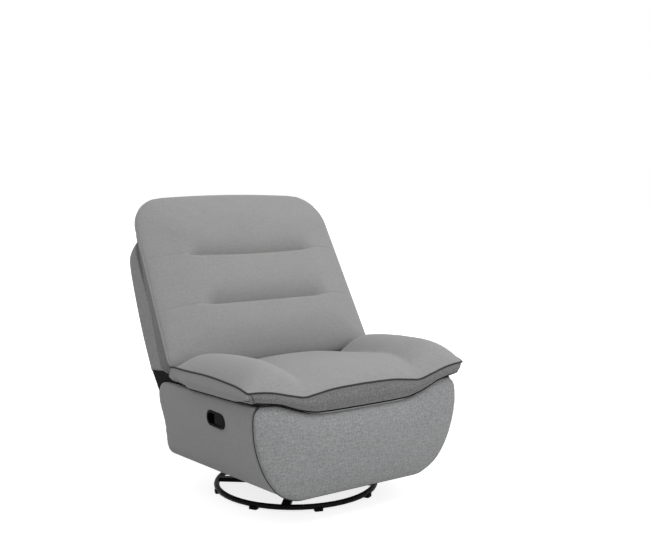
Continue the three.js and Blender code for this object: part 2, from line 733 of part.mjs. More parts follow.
// Footrest bracket: an ear with the pin, and a foot screwed to the board.
function restBracket(side) {
  const boardY = boardFrontY + boardThick + gap;
  const tall = 5 * linkRadius;
  const outline = roundedOutline([[boardY, restPivot.z - tall], [boardY + linkRadius, restPivot.z - tall],
    [restPivot.y + linkRadius, restPivot.z - linkRadius], [restPivot.y + linkRadius, restPivot.z + linkRadius],
    [boardY + linkRadius, restPivot.z + tall], [boardY, restPivot.z + tall]], plateThick);
  const inner = layerX(1);
  const ear = plateYZ(outline, side, inner, inner + plateThick);
  const footWide = 2 * linkRadius;
  const [low, high] = side > 0 ? [inner - footWide, inner + plateThick]
    : [-inner - plateThick, -inner + footWide];
  const foot = block(low, high, boardY, boardY + plateThick, restPivot.z - tall + plateThick,
    restPivot.z + tall - plateThick);
  return join(ear, foot, ...pivotPin(side, inner + plateThick, restPivot, plateThick));
}

// Side wall of the tub.
function tubWall(side) {
  const outer = tubLine(0);
  const inner = tubLine(tubThick).reverse();
  const wall = new THREE.Shape([...outer, ...inner].map((p) => new THREE.Vector2(side * p.x, p.y)));
  const long = plateXZ(wall, tubFrontY, tubRearTopY);
  const outline = roundedOutline([[tubFrontY, tubFootZ - overrun], [tubRearFootY, tubFootZ - overrun],
    [tubRearTopY, tubTopRearZ], [tubFrontY, tubTopFrontZ]],
  [0, tubFootRound, tubRearRound, linkRadius]);
  return common(long, plateYZ(outline, side, 0, tubHalf + tubThick));
}

// A board across the chair, shaped at its ends to the inside of the tub.
function crossBoard(nearY, farY, lowZ, highZ) {
  const right = tubLine(tubThick + gap);
  const left = right.map((point) => new THREE.Vector2(-point.x, point.y)).reverse();
  const hollow = plateXZ(new THREE.Shape([...right, ...left]), nearY, farY);
  return common(hollow, block(-tubHalf, tubHalf, nearY - overrun, farY + overrun, lowZ, highZ));
}

// An oblong with round ends, lying in (y, z).
function oblong(centre, length, height) {
  const reach = (length - height) / 2;
  return linkOutline({ y: centre.y - reach, z: centre.z }, { y: centre.y + reach, z: centre.z }, height / 2);
}

function cupTool(size, grow, near, far) {
  return plateYZ(oblong(cupCentre, size.length + 2 * grow, size.height + 2 * grow), -1, near, far);
}

function sidePanel(side) {
  const wall = tubWall(side);
  if (side > 0) return wall;
  const flangeSeat = cupTool(cupFlange, gap, cupFaceX - cupFlangeThick - gap, cupFaceX + overrun);
  const bodySeat = cupTool(cupBody, gap, cupFaceX - cupDepth - gap, cupFaceX);
  const floorX = cupFaceX - cupDepth;
  const cableWay = barX(spigotRadius + gap, -1, floorX - 2 * spigotLength, floorX + overrun,
    cupCentre);
  return cut(wall, flangeSeat, bodySeat, cableWay);
}

// Handle cup: flange, oblong well and a spigot for the cable.
function latchCup() {
  const flange = cupTool(cupFlange, 0, cupFaceX - cupFlangeThick, cupFaceX);
  const body = cupTool(cupBody, 0, cupFaceX - cupDepth, cupFaceX - cupFlangeThick / 2);
  const well = cupTool(cupBody, -cupWall, cupFaceX - cupDepth + cupWall, cupFaceX + overrun);
  const spigot = barX(spigotRadius, -1, cupFaceX - cupDepth - spigotLength, cupFaceX - cupDepth + gap, cupCentre);
  return cut(join(flange, body, spigot), well);
}

// Handle paddle: a plate with a hinge barrel at its front end.
function latchPaddle() {
  const wellHalf = cupBody.height / 2 - cupWall;
  const height = 2 * (wellHalf - paddlePlay);
  const hingeY = cupCentre.y - cupBody.length / 2 + paddleHingeIn;
  const middleX = cupFaceX - paddleInset - paddleThick / 2;
  const frontY = cupCentre.y - cupBody.length / 2 + cupWall + paddlePlay;
  const outline = oblong({ y: frontY + height, z: cupCentre.z }, 2 * height, height);
  const plate = plateYZ(outline, -1, middleX - paddleThick / 2, middleX + paddleThick / 2);
  const rear = block(-middleX - paddleThick / 2, -middleX + paddleThick / 2, frontY + height,
    cupCentre.y + paddleEndIn, cupCentre.z - height / 2, cupCentre.z + height / 2);
  const trim = block(-cupFaceX - overrun, -cupFaceX + cupDepth, cupCentre.y + paddleEndIn,
    cupCentre.y + cupBody.length, cupCentre.z - height, cupCentre.z + height);
  const barrelHalf = height / 2 - paddleBarrel;
  const barrel = new THREE.CylinderGeometry(paddleBarrel, paddleBarrel, 2 * barrelHalf, curveSteps);
  barrel.rotateX(Math.PI / 2);
  barrel.translate(-middleX, hingeY, cupCentre.z);
  return cut(join(plate, rear, barrel), trim);
}

// Trip lever on the inside of the handle side's mechanism plate.
function tripLever() {
  const outer = mechX - washer;
  const nose = plateYZ(linkOutline(tripNose, tripPivot, tripNoseRadius), -1, outer - plateThick, outer);
  const tail = plateYZ(linkOutline(tripPivot, tripTail, tripTailRadius), -1, outer - plateThick, outer);
  const boss = barX(tripBoss, -1, outer - plateThick, outer, tripPivot);
  const bore = barX(pinHole, -1, outer - plateThick - overrun, outer + overrun, tripPivot);
  return cut(join(nose, tail, boss), bore);
}

// Release cable from the cup's spigot to the trip lever, through the hole in the mechanism plate.
function releaseCable() {
  const startX = cupFaceX - cupDepth - spigotLength - 3 * gap;
  const endX = mechX - washer - plateThick / 2;
  const way = (x, y, z) => new THREE.Vector3(-x, y, z);
  const route = new THREE.CatmullRomCurve3([
    way(startX, cupCentre.y, cupCentre.z),
    way(startX - 6 * cableRadius, cupCentre.y, cupCentre.z - cableRadius),
    way(lerp(startX, mechX, 0.45), cupCentre.y + 2 * cableRadius, lerp(cupCentre.z, cableHoleAt.z, 0.55)),
    way(mechX + 5 * plateThick, cableHoleAt.y + 4 * cableRadius, cableHoleAt.z + cableRadius),
    way(mechX + plateThick / 2, cableHoleAt.y, cableHoleAt.z),
    way(endX, tripTail.y + tripTailRadius + 8 * cableRadius, cableHoleAt.z),
    way(endX, tripTail.y + tripTailRadius + gap, tripTail.z),
  ], false, 'centripetal');
  const section = new THREE.Shape();
  section.absarc(0, 0, cableRadius, 0, 2 * Math.PI, false);
  return new THREE.ExtrudeGeometry(section,
    { extrudePath: route, steps: cableSteps, bevelEnabled: false, curveSegments: cableSides / 2 });
}

function seatSideRail(side) {
  const [low, high] = side > 0 ? [seatRailInner, seatRailInner + seatRailThick]
    : [-seatRailInner - seatRailThick, -seatRailInner];
  return block(low, high, frontRailY[1] + gap, rearRailY[0] - gap, seatSideRailZ, seatDeckZ);
}

// Zigzag spring, lying on the front and rear rails.
function seatSpring(k) {
  const x = -springSpan / 2 + k * springSpan / (springCount - 1);
  const from = frontRailY[0] + springInset;
  const to = rearRailY[1] - springInset;
  const pitch = (to - from - 2 * springEnd) / springWaves;
  const z = seatDeckZ + gap + springWire;
  const points = [new THREE.Vector3(x, from, z)];
  for (let n = 0; n <= springWaves; n++) {
    const swing = n % 2 ? springSway : -springSway;
    const y = from + springEnd + n * pitch;
    points.push(new THREE.Vector3(x + swing * 0.8, y - pitch / 4, z));
    points.push(new THREE.Vector3(x + swing * 0.8, y + pitch / 4, z));
  }
  points.push(new THREE.Vector3(x, to, z));
  const route = new THREE.CatmullRomCurve3(points, false, 'catmullrom', 0.6);
  const section = new THREE.Shape();
  section.absarc(0, 0, springWire, 0, 2 * Math.PI, false);
  return new THREE.ExtrudeGeometry(section,
    { extrudePath: route, steps: springSteps, bevelEnabled: false, curveSegments: 2.5 });
}

// Seat cushion: crowned middle, a raised bolster on each side, and a boxed front.
const seatColumns = mirrored([0, 0.12, 0.25, 0.38, 0.46, seatFoldX / seatHalf, 0.62, 0.7, 0.78,
  seatDeckHalf / seatHalf, (seatDeckHalf + seatSideStep) / seatHalf, 0.92, 0.97, 1]);
const seatRearInsetShares = [0.72, 1]; // of the seat's length, where the rear corners draw in
const seatRearEaseShares = [0.9, 1]; // the sides' piping comes down to the rear edge between these
const seatRearDropShare = 0.8;
const seatLength = seatRearY - seatFrontY;
const seatRows = [0, 0.025, seatLip / seatLength, (seatLip + seatLipStep) / seatLength, 0.14, 0.24, 0.36,
  0.48, 0.6, 0.7, 0.79, 0.86, 0.91, 0.96, 1];
const seatRiseShares = [[0, 0], [0.025, 0.42], [0.08, 0.76], [0.2, 0.97], [0.4, 1], [0.62, 0.95], [0.76, 0.86],
  [0.85, 0.72], [0.92, 0.22], [1, 0]];

function seatCushion() {
  const riseAt = reading(seatRiseShares);
  const boxed = (shares) => (place) => seatFootZ + seatBoxing * reading(shares)(place);
  const sideAt = boxed(seatSidePipingShares);
  const frontAt = boxed(seatFrontPipingShares);
  const footAt = boxed(seatFrontFootShares);
  const yAt = (v) => lerp(seatFrontY, seatRearY, v);
  const pipingZ = (u, v) => {
    const middle = lerp(frontAt(Math.abs(u)), seatRearZ, v);
    const edge = sideAt(v) - lerp(frontAt(1), seatRearZ, v);
    const rearEase = 1 - smooth(v, ...seatRearEaseShares) * seatRearDropShare;
    return middle + Math.abs(u) ** 4 * edge * rearEase;
  };
  const crown = (u) => {
    const x = Math.abs(u) * seatHalf;
    if (x < seatFoldX) {
      return seatFoldRise + seatMiddleRise * Math.cos(Math.PI * x / seatFoldX / 2) ** 0.8;
    }
    const t = (x - seatFoldX) / (seatHalf - seatFoldX);
    return seatFoldRise * (1 - t * t) + bolsterRise * Math.sin(Math.PI * Math.min(t, 1)) ** 0.8;
  };
  const halfAt = (v) => seatHalf - seatRearInset * smooth(v, ...seatRearInsetShares);
  const top = (u, v) => new THREE.Vector3(u * halfAt(v), yAt(v), pipingZ(u, v) + crown(u) * riseAt(v));
  const footZ = (u, v) => {
    const x = Math.abs(u) * seatHalf;
    const y = yAt(v);
    const deck = seatDeckZ + 2 * springWire + 2 * gap;
    const overSide = x > seatDeckHalf + seatSideStep / 2 ? tubTopAt(y) + seatOverPanel : deck;
    const overFront = footAt(Math.abs(u));
    return v < (seatLip + seatLipStep / 2) / seatLength ? Math.max(overFront, x > seatDeckHalf ? overSide : 0)
      : overSide;
  };
  const foot = (u, v) => {
    const squeeze = Math.abs(u) > 0.9 ? seatFootShare : 1;
    return new THREE.Vector3(u * halfAt(v) * squeeze, yAt(v) + (v === 0 ? seatBoxingBulge / 2 : 0), footZ(u, v));
  };
  const rim = (u, v) => {
    const middle = top(u, v).add(foot(u, v)).multiplyScalar(0.5);
    if (Math.abs(u) === 1) middle.x = u * (halfAt(v) + seatBoxingBulge / 4);
    if (v === 0) middle.y -= seatBoxingBulge;
    return middle;
  };
  return stuffed(seatColumns, seatRows, top, foot, rim);
}

// Turns a place in the back's leaning frame into the chair's.
const lean = THREE.MathUtils.degToRad(backLean);
function leaning(x, s, d) {
  return new THREE.Vector3(x, backOrigin.y + s * Math.sin(lean) + d * Math.cos(lean),
    backOrigin.z + s * Math.cos(lean) - d * Math.sin(lean));
}

// Half width of a form with a round top and a round foot, at height s.
function roundedHalf(s, foot, top, halfFoot, halfTop, roundFoot, roundTop) {
  const half = lerp(halfFoot, halfTop, (s - foot) / (top - foot));
  const arc = (into, round) => (into > 0 ? round - Math.sqrt(Math.max(round * round - into * into, 0)) : 0);
  return half - arc(s - (top - roundTop), roundTop) - arc(foot + roundFoot - s, roundFoot);
}

// Back cushion: crowned, rolled to its piping, with two sewn channels that stop short of the sides.
const backColumns = mirrored([0, 0.2, 0.38, 0.52, 0.62, 0.72, 0.82, 0.9, 0.96, 1]);
const backRows = [0, 0.012, 0.035, 0.08, 0.15, 0.22, 0.275, 0.3, 0.323, 0.346, 0.372, 0.44, 0.5, 0.552, 0.578, 0.601,
  0.624, 0.65, 0.71, 0.78, 0.85, 0.91, 0.95, 0.975, 0.992, 1];

function backCushion() {
  const rolled = (share) => (1 - Math.min(Math.abs(share), 1) ** 6) ** 0.45;
  const halfAt = (s) =>
    roundedHalf(s, backFoot, backTop, backHalfFoot, backHalfTop, backRoundFoot, backRoundTop);
  const groove = (x, s) => channelHeights.reduce((sum, height, i) => {
    const half = channelHalves[i];
    const line = height + channelLift * (x / half) ** 2;
    const across = Math.exp(-(((s - line) / channelWidth) ** 2));
    const along = 1 - smooth(Math.abs(x), half - channelFade, half + channelFade);
    return sum + channelDepth * across * along;
  }, 0);
  const arch = (u, v) => backTopArch * (1 - u * u) * v ** 4;
  const face = (u, v) => {
    const s = lerp(backFoot, backTop, v);
    const x = u * halfAt(s);
    const roll = rolled(u) * rolled(2 * v - 1);
    const crown = backCrown * (1 - u * u) * (1 - (2 * v - 1) ** 2) ** 0.5;
    return leaning(x, s + arch(u, v), backPiping * (1 - roll) - crown + groove(x, s) * roll);
  };
  const rear = (u, v) => {
    const s = lerp(backFoot, backTop, v);
    return leaning(u * (halfAt(s) - backRearInset * v), lerp(backFoot + backFootRise, backTop, v), backDepth);
  };
  const rim = (u, v) => {
    const s = lerp(backFoot, backTop, v);
    const swell = Math.abs(u) === 1 ? Math.sign(u) * backBoxingBulge : 0;
    const lift = v === 1 ? backBoxingBulge : 0;
    return leaning(u * (halfAt(s) - backRearInset * v / 2) + swell,
      lerp(backFoot + backFootRise / 2, backTop, v) + lift + arch(u, v) / 2,
      (backPiping + backDepth) / 2);
  };
  return stuffed(backColumns, backRows, face, rear, rim);
}

// A flat plate in the back's leaning frame.
function backBoard() {
  const outline = roundedOutline([[-backBoardHalf, backBoardFoot], [backBoardHalf, backBoardFoot],
    [backBoardHalf, backBoardTop], [-backBoardHalf, backBoardTop]],
  [linkRadius, linkRadius, backBoardRound, backBoardRound]);
  const board = new THREE.ExtrudeGeometry(outline,
    { depth: backBoardThick, bevelEnabled: false, curveSegments: curveSteps / 2 });
  board.applyMatrix4(leanFrame(backDepth + gap + backBoardThick));
  return board;
}

// Places an outline in (x, s) at a depth, with its thickness running forward.
function leanFrame(depth) {
  const up = new THREE.Vector3(0, Math.sin(lean), Math.cos(lean));
  const forward = new THREE.Vector3(0, -Math.cos(lean), Math.sin(lean));
  const frame = new THREE.Matrix4().makeBasis(alongX, up, forward);
  return frame.setPosition(leaning(0, 0, depth));
}

// Outer back shell, deepest at the foot, with pockets for the posts.
const shellColumns = mirrored([0, 0.3, 0.58, 0.78, 0.88, 0.95, 0.985, 1]);
const shellRows = [0, 0.15, 0.32, 0.5, 0.66, 0.78, 0.86, 0.91, 0.95, 0.98, 1];

function backShell() {
  const depthAt = (v) => shellDepth * reading(shellDepthShares)(v);
  const front = backDepth + backBoardThick + 2 * gap;
  const halfAt = (s) => roundedHalf(s, shellFootFront, shellTop, shellHalf, shellHalf, 0, shellRound);
  const edge = (u) => shellEdgeDrop * (1 - (1 - Math.abs(u) ** 8) ** (1 / 3));
  const rear = (u, v) => {
    const s = lerp(shellFootRear, shellTop, v);
    return leaning(u * halfAt(s), s, Math.max(depthAt(v) - edge(u), front + linkRadius));
  };
  const inner = (u, v) => {
    const s = lerp(shellFootFront, shellTop, v);
    return leaning(u * halfAt(s), s, front);
  };
  const rim = (u, v) => rear(u, v).add(inner(u, v)).multiplyScalar(0.5);
  const pockets = [-1, 1].map((side) => postForm(side, gap));
  return cut(stuffed(shellColumns, shellRows, rear, inner, rim), ...pockets);
}

// Back post: from the recline pivot up to a knee, then along the back of the board.
function postForm(side, grow) {
  const depth = backDepth + backBoardThick + 3 * gap + postRadius;
  const asPlace = (point) => ({ y: point.y, z: point.z });
  const knee = asPlace(leaning(0, postKnee, depth));
  const top = asPlace(leaning(0, postTop, depth));
  const [near, far] = [layerX(1) - grow, layerX(1) + plateThick + grow];
  const lower = plateYZ(linkOutline(backPivot, knee, postRadius + grow), side, near, far);
  const upper = plateYZ(linkOutline(knee, top, postRadius + grow), side, near, far);
  return join(lower, upper);
}

function backPost(side) {
  const bore = barX(pinHole, side, layerX(1) - overrun, layerX(1) + plateThick + overrun, backPivot);
  return cut(postForm(side, 0), bore);
}

// Skirt that hangs from the shell's foot behind the body.
function rearSkirt() {
  const front = leaning(0, shellFootFront, backDepth + backBoardThick + 2 * gap);
  const rear = leaning(0, shellFootRear, shellDepth);
  const footOfShell = (y) => lerp(front.z, rear.z, (y - front.y) / (rear.y - front.y));
  const outline = roundedOutline([[skirtY[0], skirtFootZ], [skirtY[1], skirtFootZ],
    [skirtY[1], footOfShell(skirtY[1]) - gap], [skirtY[0], footOfShell(skirtY[0]) - gap]],
  [skirtRound, skirtRound, 0, 0]);
  const skirt = plateYZ(outline, 1, 0, 2 * skirtHalf);
  skirt.translate(-skirtHalf, 0, 0);
  return skirt;
}

// Front panel: the footrest's upholstery, its outline drawn by the tub curve and a dipped top edge.
const panelColumns = mirrored([0, 0.18, 0.34, 0.47, 0.6, 0.72, 0.83, 0.93, 1]);
const panelRows = [0, 0.05, 0.14, 0.26, 0.4, 0.55, 0.7, 0.82, 0.91, 0.97, 1];

function footrestPanel() {
  const side = new THREE.SplineCurve(panelSideShares.map(([out, up]) =>
    new THREE.Vector2(out * tubHalf, tubFootZ + up * panelTall)));
  const topAt = reading(panelTopShares);
  const place = (u, v) => {
    const edge = side.getPointAt(v);
    const along = Math.abs(u);
    const middle = tubFootZ + v * (panelTall - panelDip * (1 - topAt(along)));
    const pull = edge.y - tubFootZ - v * panelTall;
    return [u * edge.x, middle + pull * along ** 3];
  };
  const rolled = (share) => (1 - Math.min(Math.abs(share), 1) ** 6) ** 0.5;
  const face = (u, v) => {
    const [x, z] = place(u, v);
    const roll = rolled(u) * rolled(2 * v - 1);
    const crown = panelCrown * (1 - u * u) * (1 - (2 * v - 1) ** 2);
    return new THREE.Vector3(x, panelSeamY - panelRoll * roll - crown, z);
  };
  const rear = (u, v) => {
    const [x, z] = place(u, v);
    return new THREE.Vector3(x, panelRearY, z);
  };
  const rim = (u, v) => {
    const [x, z] = place(u, v);
    return new THREE.Vector3(x, (panelSeamY + panelRearY) / 2, z);
  };
  return stuffed(panelColumns, panelRows, face, rear, rim);
}

// Plywood behind the footrest's upholstery.
function footrestBoard() {
  const right = boardOutlineShares.map(([out, up]) => [out * tubHalf, tubFootZ + up * panelTall]);
  const topHalf = right[right.length - 1][0];
  const half = [...right, [topHalf, boardTopZ]];
  const left = half.map(([x, z]) => [-x, z]).reverse();
  return plateXZ(roundedOutline([...half, ...left], boardRound), boardFrontY, boardFrontY + boardThick);
}

// Base
piece('base_ring', baseRing(), blackSteel);
for (let k = 0; k < padCount; k++) {
  piece(`glide_pad_${k + 1}`, glidePad(k), blackPlastic);
}
piece('bearing_lower_race', flatRing(raceBore, raceRadius, lowerRaceZ, lowerRaceZ + raceThick), zincSteel);
piece('king_bolt', kingBolt(), zincSteel);

// Swivelling carrier
piece('bearing_ball_cage', ballCage(), zincSteel);
piece('bearing_upper_race', flatRing(raceBore, raceRadius, upperRaceZ, upperRaceZ + raceThick), zincSteel);
piece('glider_pan', gliderPan(), blackSteel);

// What comes in pairs, one for each side
for (const [side, word] of [[-1, 'left'], [1, 'right']]) {
  piece(`carrier_plate_${word}`, carrierPlate(side), blackSteel);
  piece(`swing_arm_front_${word}`, swingArm(side, -1), blackSteel);
  piece(`swing_arm_rear_${word}`, swingArm(side, 1), blackSteel);
  piece(`glide_rail_${word}`, glideRail(side), blackSteel);
  piece(`mechanism_plate_${word}`, mechanismPlate(side), blackSteel);
  piece(`seat_rail_${word}`, seatSideRail(side), hardwood);
  piece(`side_panel_${word}`, sidePanel(side), plainFabric);
  piece(`footrest_drive_link_${word}`, driveLink(side), blackSteel);
  piece(`footrest_lift_link_${word}`, liftLink(side), blackSteel);
  piece(`footrest_guide_link_${word}`, guideLink(side), blackSteel);
  piece(`footrest_bracket_${word}`, restBracket(side), blackSteel);
  piece(`back_post_${word}`, backPost(side), blackSteel);
}

// Carriage
const tubeHalf = mechX - gap;
for (const [end, word] of [[-1, 'front'], [1, 'rear']]) {
  const [low, high] = [end * crossTubeY - crossTube / 2, end * crossTubeY + crossTube / 2];
  piece(`cross_tube_${word}`,
    block(-tubeHalf, tubeHalf, low, high, crossTubeZ - crossTube / 2, crossTubeZ + crossTube / 2), blackSteel);
}
piece('seat_rail_front', crossBoard(...frontRailY, frontRailZ, seatDeckZ), hardwood);
piece('seat_rail_rear', crossBoard(...rearRailY, rearRailZ, seatDeckZ), hardwood);
piece('rear_apron', crossBoard(...apronY, apronFootZ, apronTopZ), blackCloth);
for (let k = 0; k < springCount; k++) {
  piece(`seat_spring_${k + 1}`, seatSpring(k), springSteel);
}
piece('seat_cushion', seatCushion(), plainFabric);
piece('latch_cup', latchCup(), blackPlastic);
piece('latch_paddle', latchPaddle(), blackPlastic);
piece('trip_lever', tripLever(), zincSteel);
piece('release_cable', releaseCable(), blackPlastic);

// Footrest
piece('footrest_drive_tube', driveCrossTube(), blackSteel);
piece('footrest_board', footrestBoard(), plywood);
piece('footrest_panel', footrestPanel(), coarseFabric);

// Back
piece('back_board', backBoard(), plywood);
piece('back_cushion', backCushion(), plainFabric);
piece('back_shell', backShell(), plainFabric);
piece('rear_skirt', rearSkirt(), coarseFabric);

// The origin is the middle of the footprint, on the floor.
const bounds = new THREE.Box3().setFromObject(chair);
chair.position.set(-(bounds.min.x + bounds.max.x) / 2, -(bounds.min.y + bounds.max.y) / 2, -bounds.min.z);

export default chair;
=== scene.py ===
# %% [markdown]
# A swivel glider recliner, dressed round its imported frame.
# The frame holds every rigid piece and every joint. This script adds what an upholsterer
# and a finisher would add: cushions, covers, piping, cloth and the finish of each surface.
# Everything is in metres, and the front of the chair faces -Y.

# %% Frame
import json
import math

import bpy
import numpy as np
from mathutils import Matrix, Vector
from mathutils.kdtree import KDTree


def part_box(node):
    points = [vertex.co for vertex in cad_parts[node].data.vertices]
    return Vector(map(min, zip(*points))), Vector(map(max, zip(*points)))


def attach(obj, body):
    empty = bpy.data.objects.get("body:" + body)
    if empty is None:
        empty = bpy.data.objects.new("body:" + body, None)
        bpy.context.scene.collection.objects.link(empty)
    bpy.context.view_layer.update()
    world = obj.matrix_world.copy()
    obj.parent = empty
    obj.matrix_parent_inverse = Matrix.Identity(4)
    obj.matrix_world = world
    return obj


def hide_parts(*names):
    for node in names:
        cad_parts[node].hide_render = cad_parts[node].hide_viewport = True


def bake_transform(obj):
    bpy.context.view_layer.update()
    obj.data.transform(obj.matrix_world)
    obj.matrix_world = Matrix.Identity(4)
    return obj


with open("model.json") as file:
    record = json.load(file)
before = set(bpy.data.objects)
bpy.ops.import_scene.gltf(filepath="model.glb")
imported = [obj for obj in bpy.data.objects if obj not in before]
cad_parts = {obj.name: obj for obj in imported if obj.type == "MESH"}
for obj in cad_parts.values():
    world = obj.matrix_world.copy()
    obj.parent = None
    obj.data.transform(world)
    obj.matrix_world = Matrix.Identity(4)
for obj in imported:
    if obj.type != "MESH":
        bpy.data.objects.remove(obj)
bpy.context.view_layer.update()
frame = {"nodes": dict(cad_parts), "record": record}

# %% [markdown]
# The floor ring is round and the chair turns about its middle, so the ring's box gives the
# swivel axis. Heights start at the floor. Places along the chair are measured from that axis.

# %% Swivel axis
ring_low, ring_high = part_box("base_ring")
axis_y = (ring_low.y + ring_high.y) / 2
print("swivel axis at y", round(axis_y, 4))

# %% [markdown]
# The camera stands in front of the handle side, a little above the seat, and looks slightly
# down. Its place, its forward direction and its upward one are written out, and the third
# direction is worked out from them, so the camera needs nothing that depends on the render's size.

# %% Camera
camera_place = Vector((-1.8846, -2.9558, 1.1184))
camera_forward = Vector((0.57013, 0.81549, -0.09967))
camera_up = Vector((0.06098, 0.07898, 0.99501))
camera_data = bpy.data.cameras.new("camera")
camera_data.lens = 53.45
camera_data.sensor_width = 36
camera_data.shift_x = -0.0018
camera = bpy.data.objects.new("camera", camera_data)
bpy.context.scene.collection.objects.link(camera)
camera_right = camera_forward.cross(camera_up).normalized()
camera_up = camera_right.cross(camera_forward).normalized()
turned = Matrix((camera_right, camera_up, -camera_forward.normalized())).transposed()
camera.matrix_world = Matrix.Translation(camera_place) @ turned.to_4x4()
bpy.context.scene.camera = camera
bpy.context.scene.view_settings.view_transform = "Standard"
print("camera", round(camera_place.length, 2), "m from the origin")

# %% [markdown]
# A node tree is easier to read when one line makes one node. This helper adds a node, sets
# its options, and fills its sockets with a value or with a wire from another node.

# %% Node helper
def add(tree, kind, sockets=None, **options):
    node = tree.nodes.new("ShaderNode" + kind)
    for name, value in options.items():
        setattr(node, name, value)
    for socket, value in (sockets or {}).items():
        if isinstance(value, bpy.types.NodeSocket):
            tree.links.new(value, node.inputs[socket])
        else:
            node.inputs[socket].default_value = value
    return node


def math_node(tree, operation, a, b=0.0):
    return add(tree, "Math", {0: a, 1: b}, operation=operation).outputs[0]


# %% [markdown]
# Soft studio light: an even pale world, one large lamp above the front, a little to the side
# away from the handle, which leaves that side darker, and a weak wide lamp low in front.
# The world is white where the camera sees it, and the floor is white where the camera or a
# reflection sees it, while the floor still takes the chair's shadow.

# %% Light
sky_level = 0.71
lamp_direction = Vector((0.17, -0.48, 0.82)).normalized()
lamp_distance = 4.0
lamp_size = 2.2
lamp_power = 38.0
fill_direction = Vector((0.12, -0.95, 0.3)).normalized()
fill_size = 3.0
fill_power = 35.0

world = bpy.data.worlds.new("studio")
bpy.context.scene.world = world
world.use_nodes = True
sky = world.node_tree
sky.nodes.clear()
path = add(sky, "LightPath")
seen = math_node(sky, "MAXIMUM", path.outputs["Is Camera Ray"], path.outputs["Is Transmission Ray"])
level = add(sky, "Mix", {0: seen, 2: sky_level, 3: 1.0}, data_type="FLOAT").outputs[0]
backdrop = add(sky, "Background", {"Color": (1, 1, 1, 1), "Strength": level})
output = add(sky, "OutputWorld")
sky.links.new(backdrop.outputs[0], output.inputs["Surface"])



def lamp(name, direction, size, power):
    data = bpy.data.lights.new(name, "AREA")
    data.shape = "DISK"
    data.size = size
    data.energy = power
    light = bpy.data.objects.new(name, data)
    bpy.context.scene.collection.objects.link(light)
    light.location = direction * lamp_distance + Vector((0, 0, 0.4))
    light.rotation_mode = "QUATERNION"
    light.rotation_quaternion = (-direction).to_track_quat("-Z", "Y")
    print(name, "lamp at", [round(v, 2) for v in light.location])


lamp("key", lamp_direction, lamp_size, lamp_power)
lamp("fill", fill_direction, fill_size, fill_power)

# %% Floor
def deselect():
    bpy.ops.object.select_all(action="DESELECT")


floor_size = 60.0
near_lift = 0.8
floor_tone = 0.5
deselect()
bpy.ops.mesh.primitive_plane_add(size=floor_size)
floor = bpy.context.object
floor.name = "floor"
pale = bpy.data.materials.new("pale_floor")
pale.use_nodes = True
ground = pale.node_tree
ground.nodes.clear()
path = add(ground, "LightPath")
seen = math_node(ground, "MAXIMUM", path.outputs["Is Camera Ray"], path.outputs["Is Glossy Ray"])
seen = math_node(ground, "MAXIMUM", seen, path.outputs["Is Transmission Ray"])
spot = add(ground, "VectorMath", {0: add(ground, "TexCoord").outputs["Object"]}, operation="LENGTH").outputs["Value"]
far = add(ground, "MapRange", {"Value": spot, "From Min": 0.9, "From Max": 3.0, "To Min": near_lift, "To Max": 1.0},
          interpolation_type="SMOOTHSTEP").outputs[0]
lift = math_node(ground, "MULTIPLY", seen, far)
paint = add(ground, "BsdfPrincipled", {"Base Color": (floor_tone, floor_tone, floor_tone, 1), "Roughness": 0.9,
            "Emission Color": (1, 1, 1, 1), "Emission Strength": lift})
output = add(ground, "OutputMaterial")
ground.links.new(paint.outputs[0], output.inputs["Surface"])
floor.data.materials.append(pale)

# %% [markdown]
# Upholstery cloth is threads going over and under each other. Close up it is small bumps in
# rows, and from a step away it is soft streaks where a thread is thicker, over a faint
# mottling. One node group makes both, and each cloth uses it with its own thread size.
# It reads a UV map in metres, so the threads lie in the surface and keep their size.

# %% Weave group
def new_group(name, inputs, outputs):
    group = bpy.data.node_groups.new(name, "ShaderNodeTree")
    for title, kind in inputs:
        group.interface.new_socket(name=title, in_out="INPUT", socket_type="NodeSocket" + kind)
    for title, kind in outputs:
        group.interface.new_socket(name=title, in_out="OUTPUT", socket_type="NodeSocket" + kind)
    return group, group.nodes.new("NodeGroupInput").outputs, group.nodes.new("NodeGroupOutput").inputs


def scaled_noise(tree, vector, stretch, detail=2.0):
    place = add(tree, "Mapping", {"Vector": vector, "Scale": stretch}).outputs[0]
    return add(tree, "TexNoise", {"Vector": place, "Scale": 1.0, "Detail": detail}).outputs[0]


speckle_weight = 1.8
weave, given, made = new_group(
    "weave",
    [("Vector", "Vector"), ("Threads", "Float"), ("Twill", "Float"), ("Slub", "Float"), ("Mottle", "Float")],
    [("Shade", "Float"), ("Height", "Float")])
axes = add(weave, "SeparateXYZ", {0: given["Vector"]}).outputs
turns = math_node(weave, "MULTIPLY", given["Threads"], 2 * math.pi)
warp = math_node(weave, "MULTIPLY", axes[0], turns)
weft = math_node(weave, "MULTIPLY", axes[1], turns)
plain = math_node(weave, "MULTIPLY", math_node(weave, "SINE", warp), math_node(weave, "SINE", weft))
both = math_node(weave, "ADD", warp, weft)
diagonal = math_node(weave, "SINE", both)
crossed = add(weave, "Mix", {0: given["Twill"], 2: plain, 3: diagonal}, data_type="FLOAT").outputs[0]
fine = scaled_noise(weave, given["Vector"], (420, 420, 420))
speckle = scaled_noise(weave, given["Vector"], (160, 160, 160), 1.0)
long_warp = scaled_noise(weave, given["Vector"], (170, 34, 1))
long_weft = scaled_noise(weave, given["Vector"], (34, 170, 1))
patches = scaled_noise(weave, given["Vector"], (9, 9, 9), 3.0)
streaks = math_node(weave, "SUBTRACT", math_node(weave, "ADD", long_warp, long_weft), 1.0)
speckle = math_node(weave, "MULTIPLY", math_node(weave, "SUBTRACT", speckle, 0.5), speckle_weight)
streaks = math_node(weave, "ADD", streaks, speckle)
streaks = math_node(weave, "MULTIPLY", streaks, given["Slub"])
mottling = math_node(weave, "MULTIPLY", math_node(weave, "SUBTRACT", patches, 0.5), given["Mottle"])
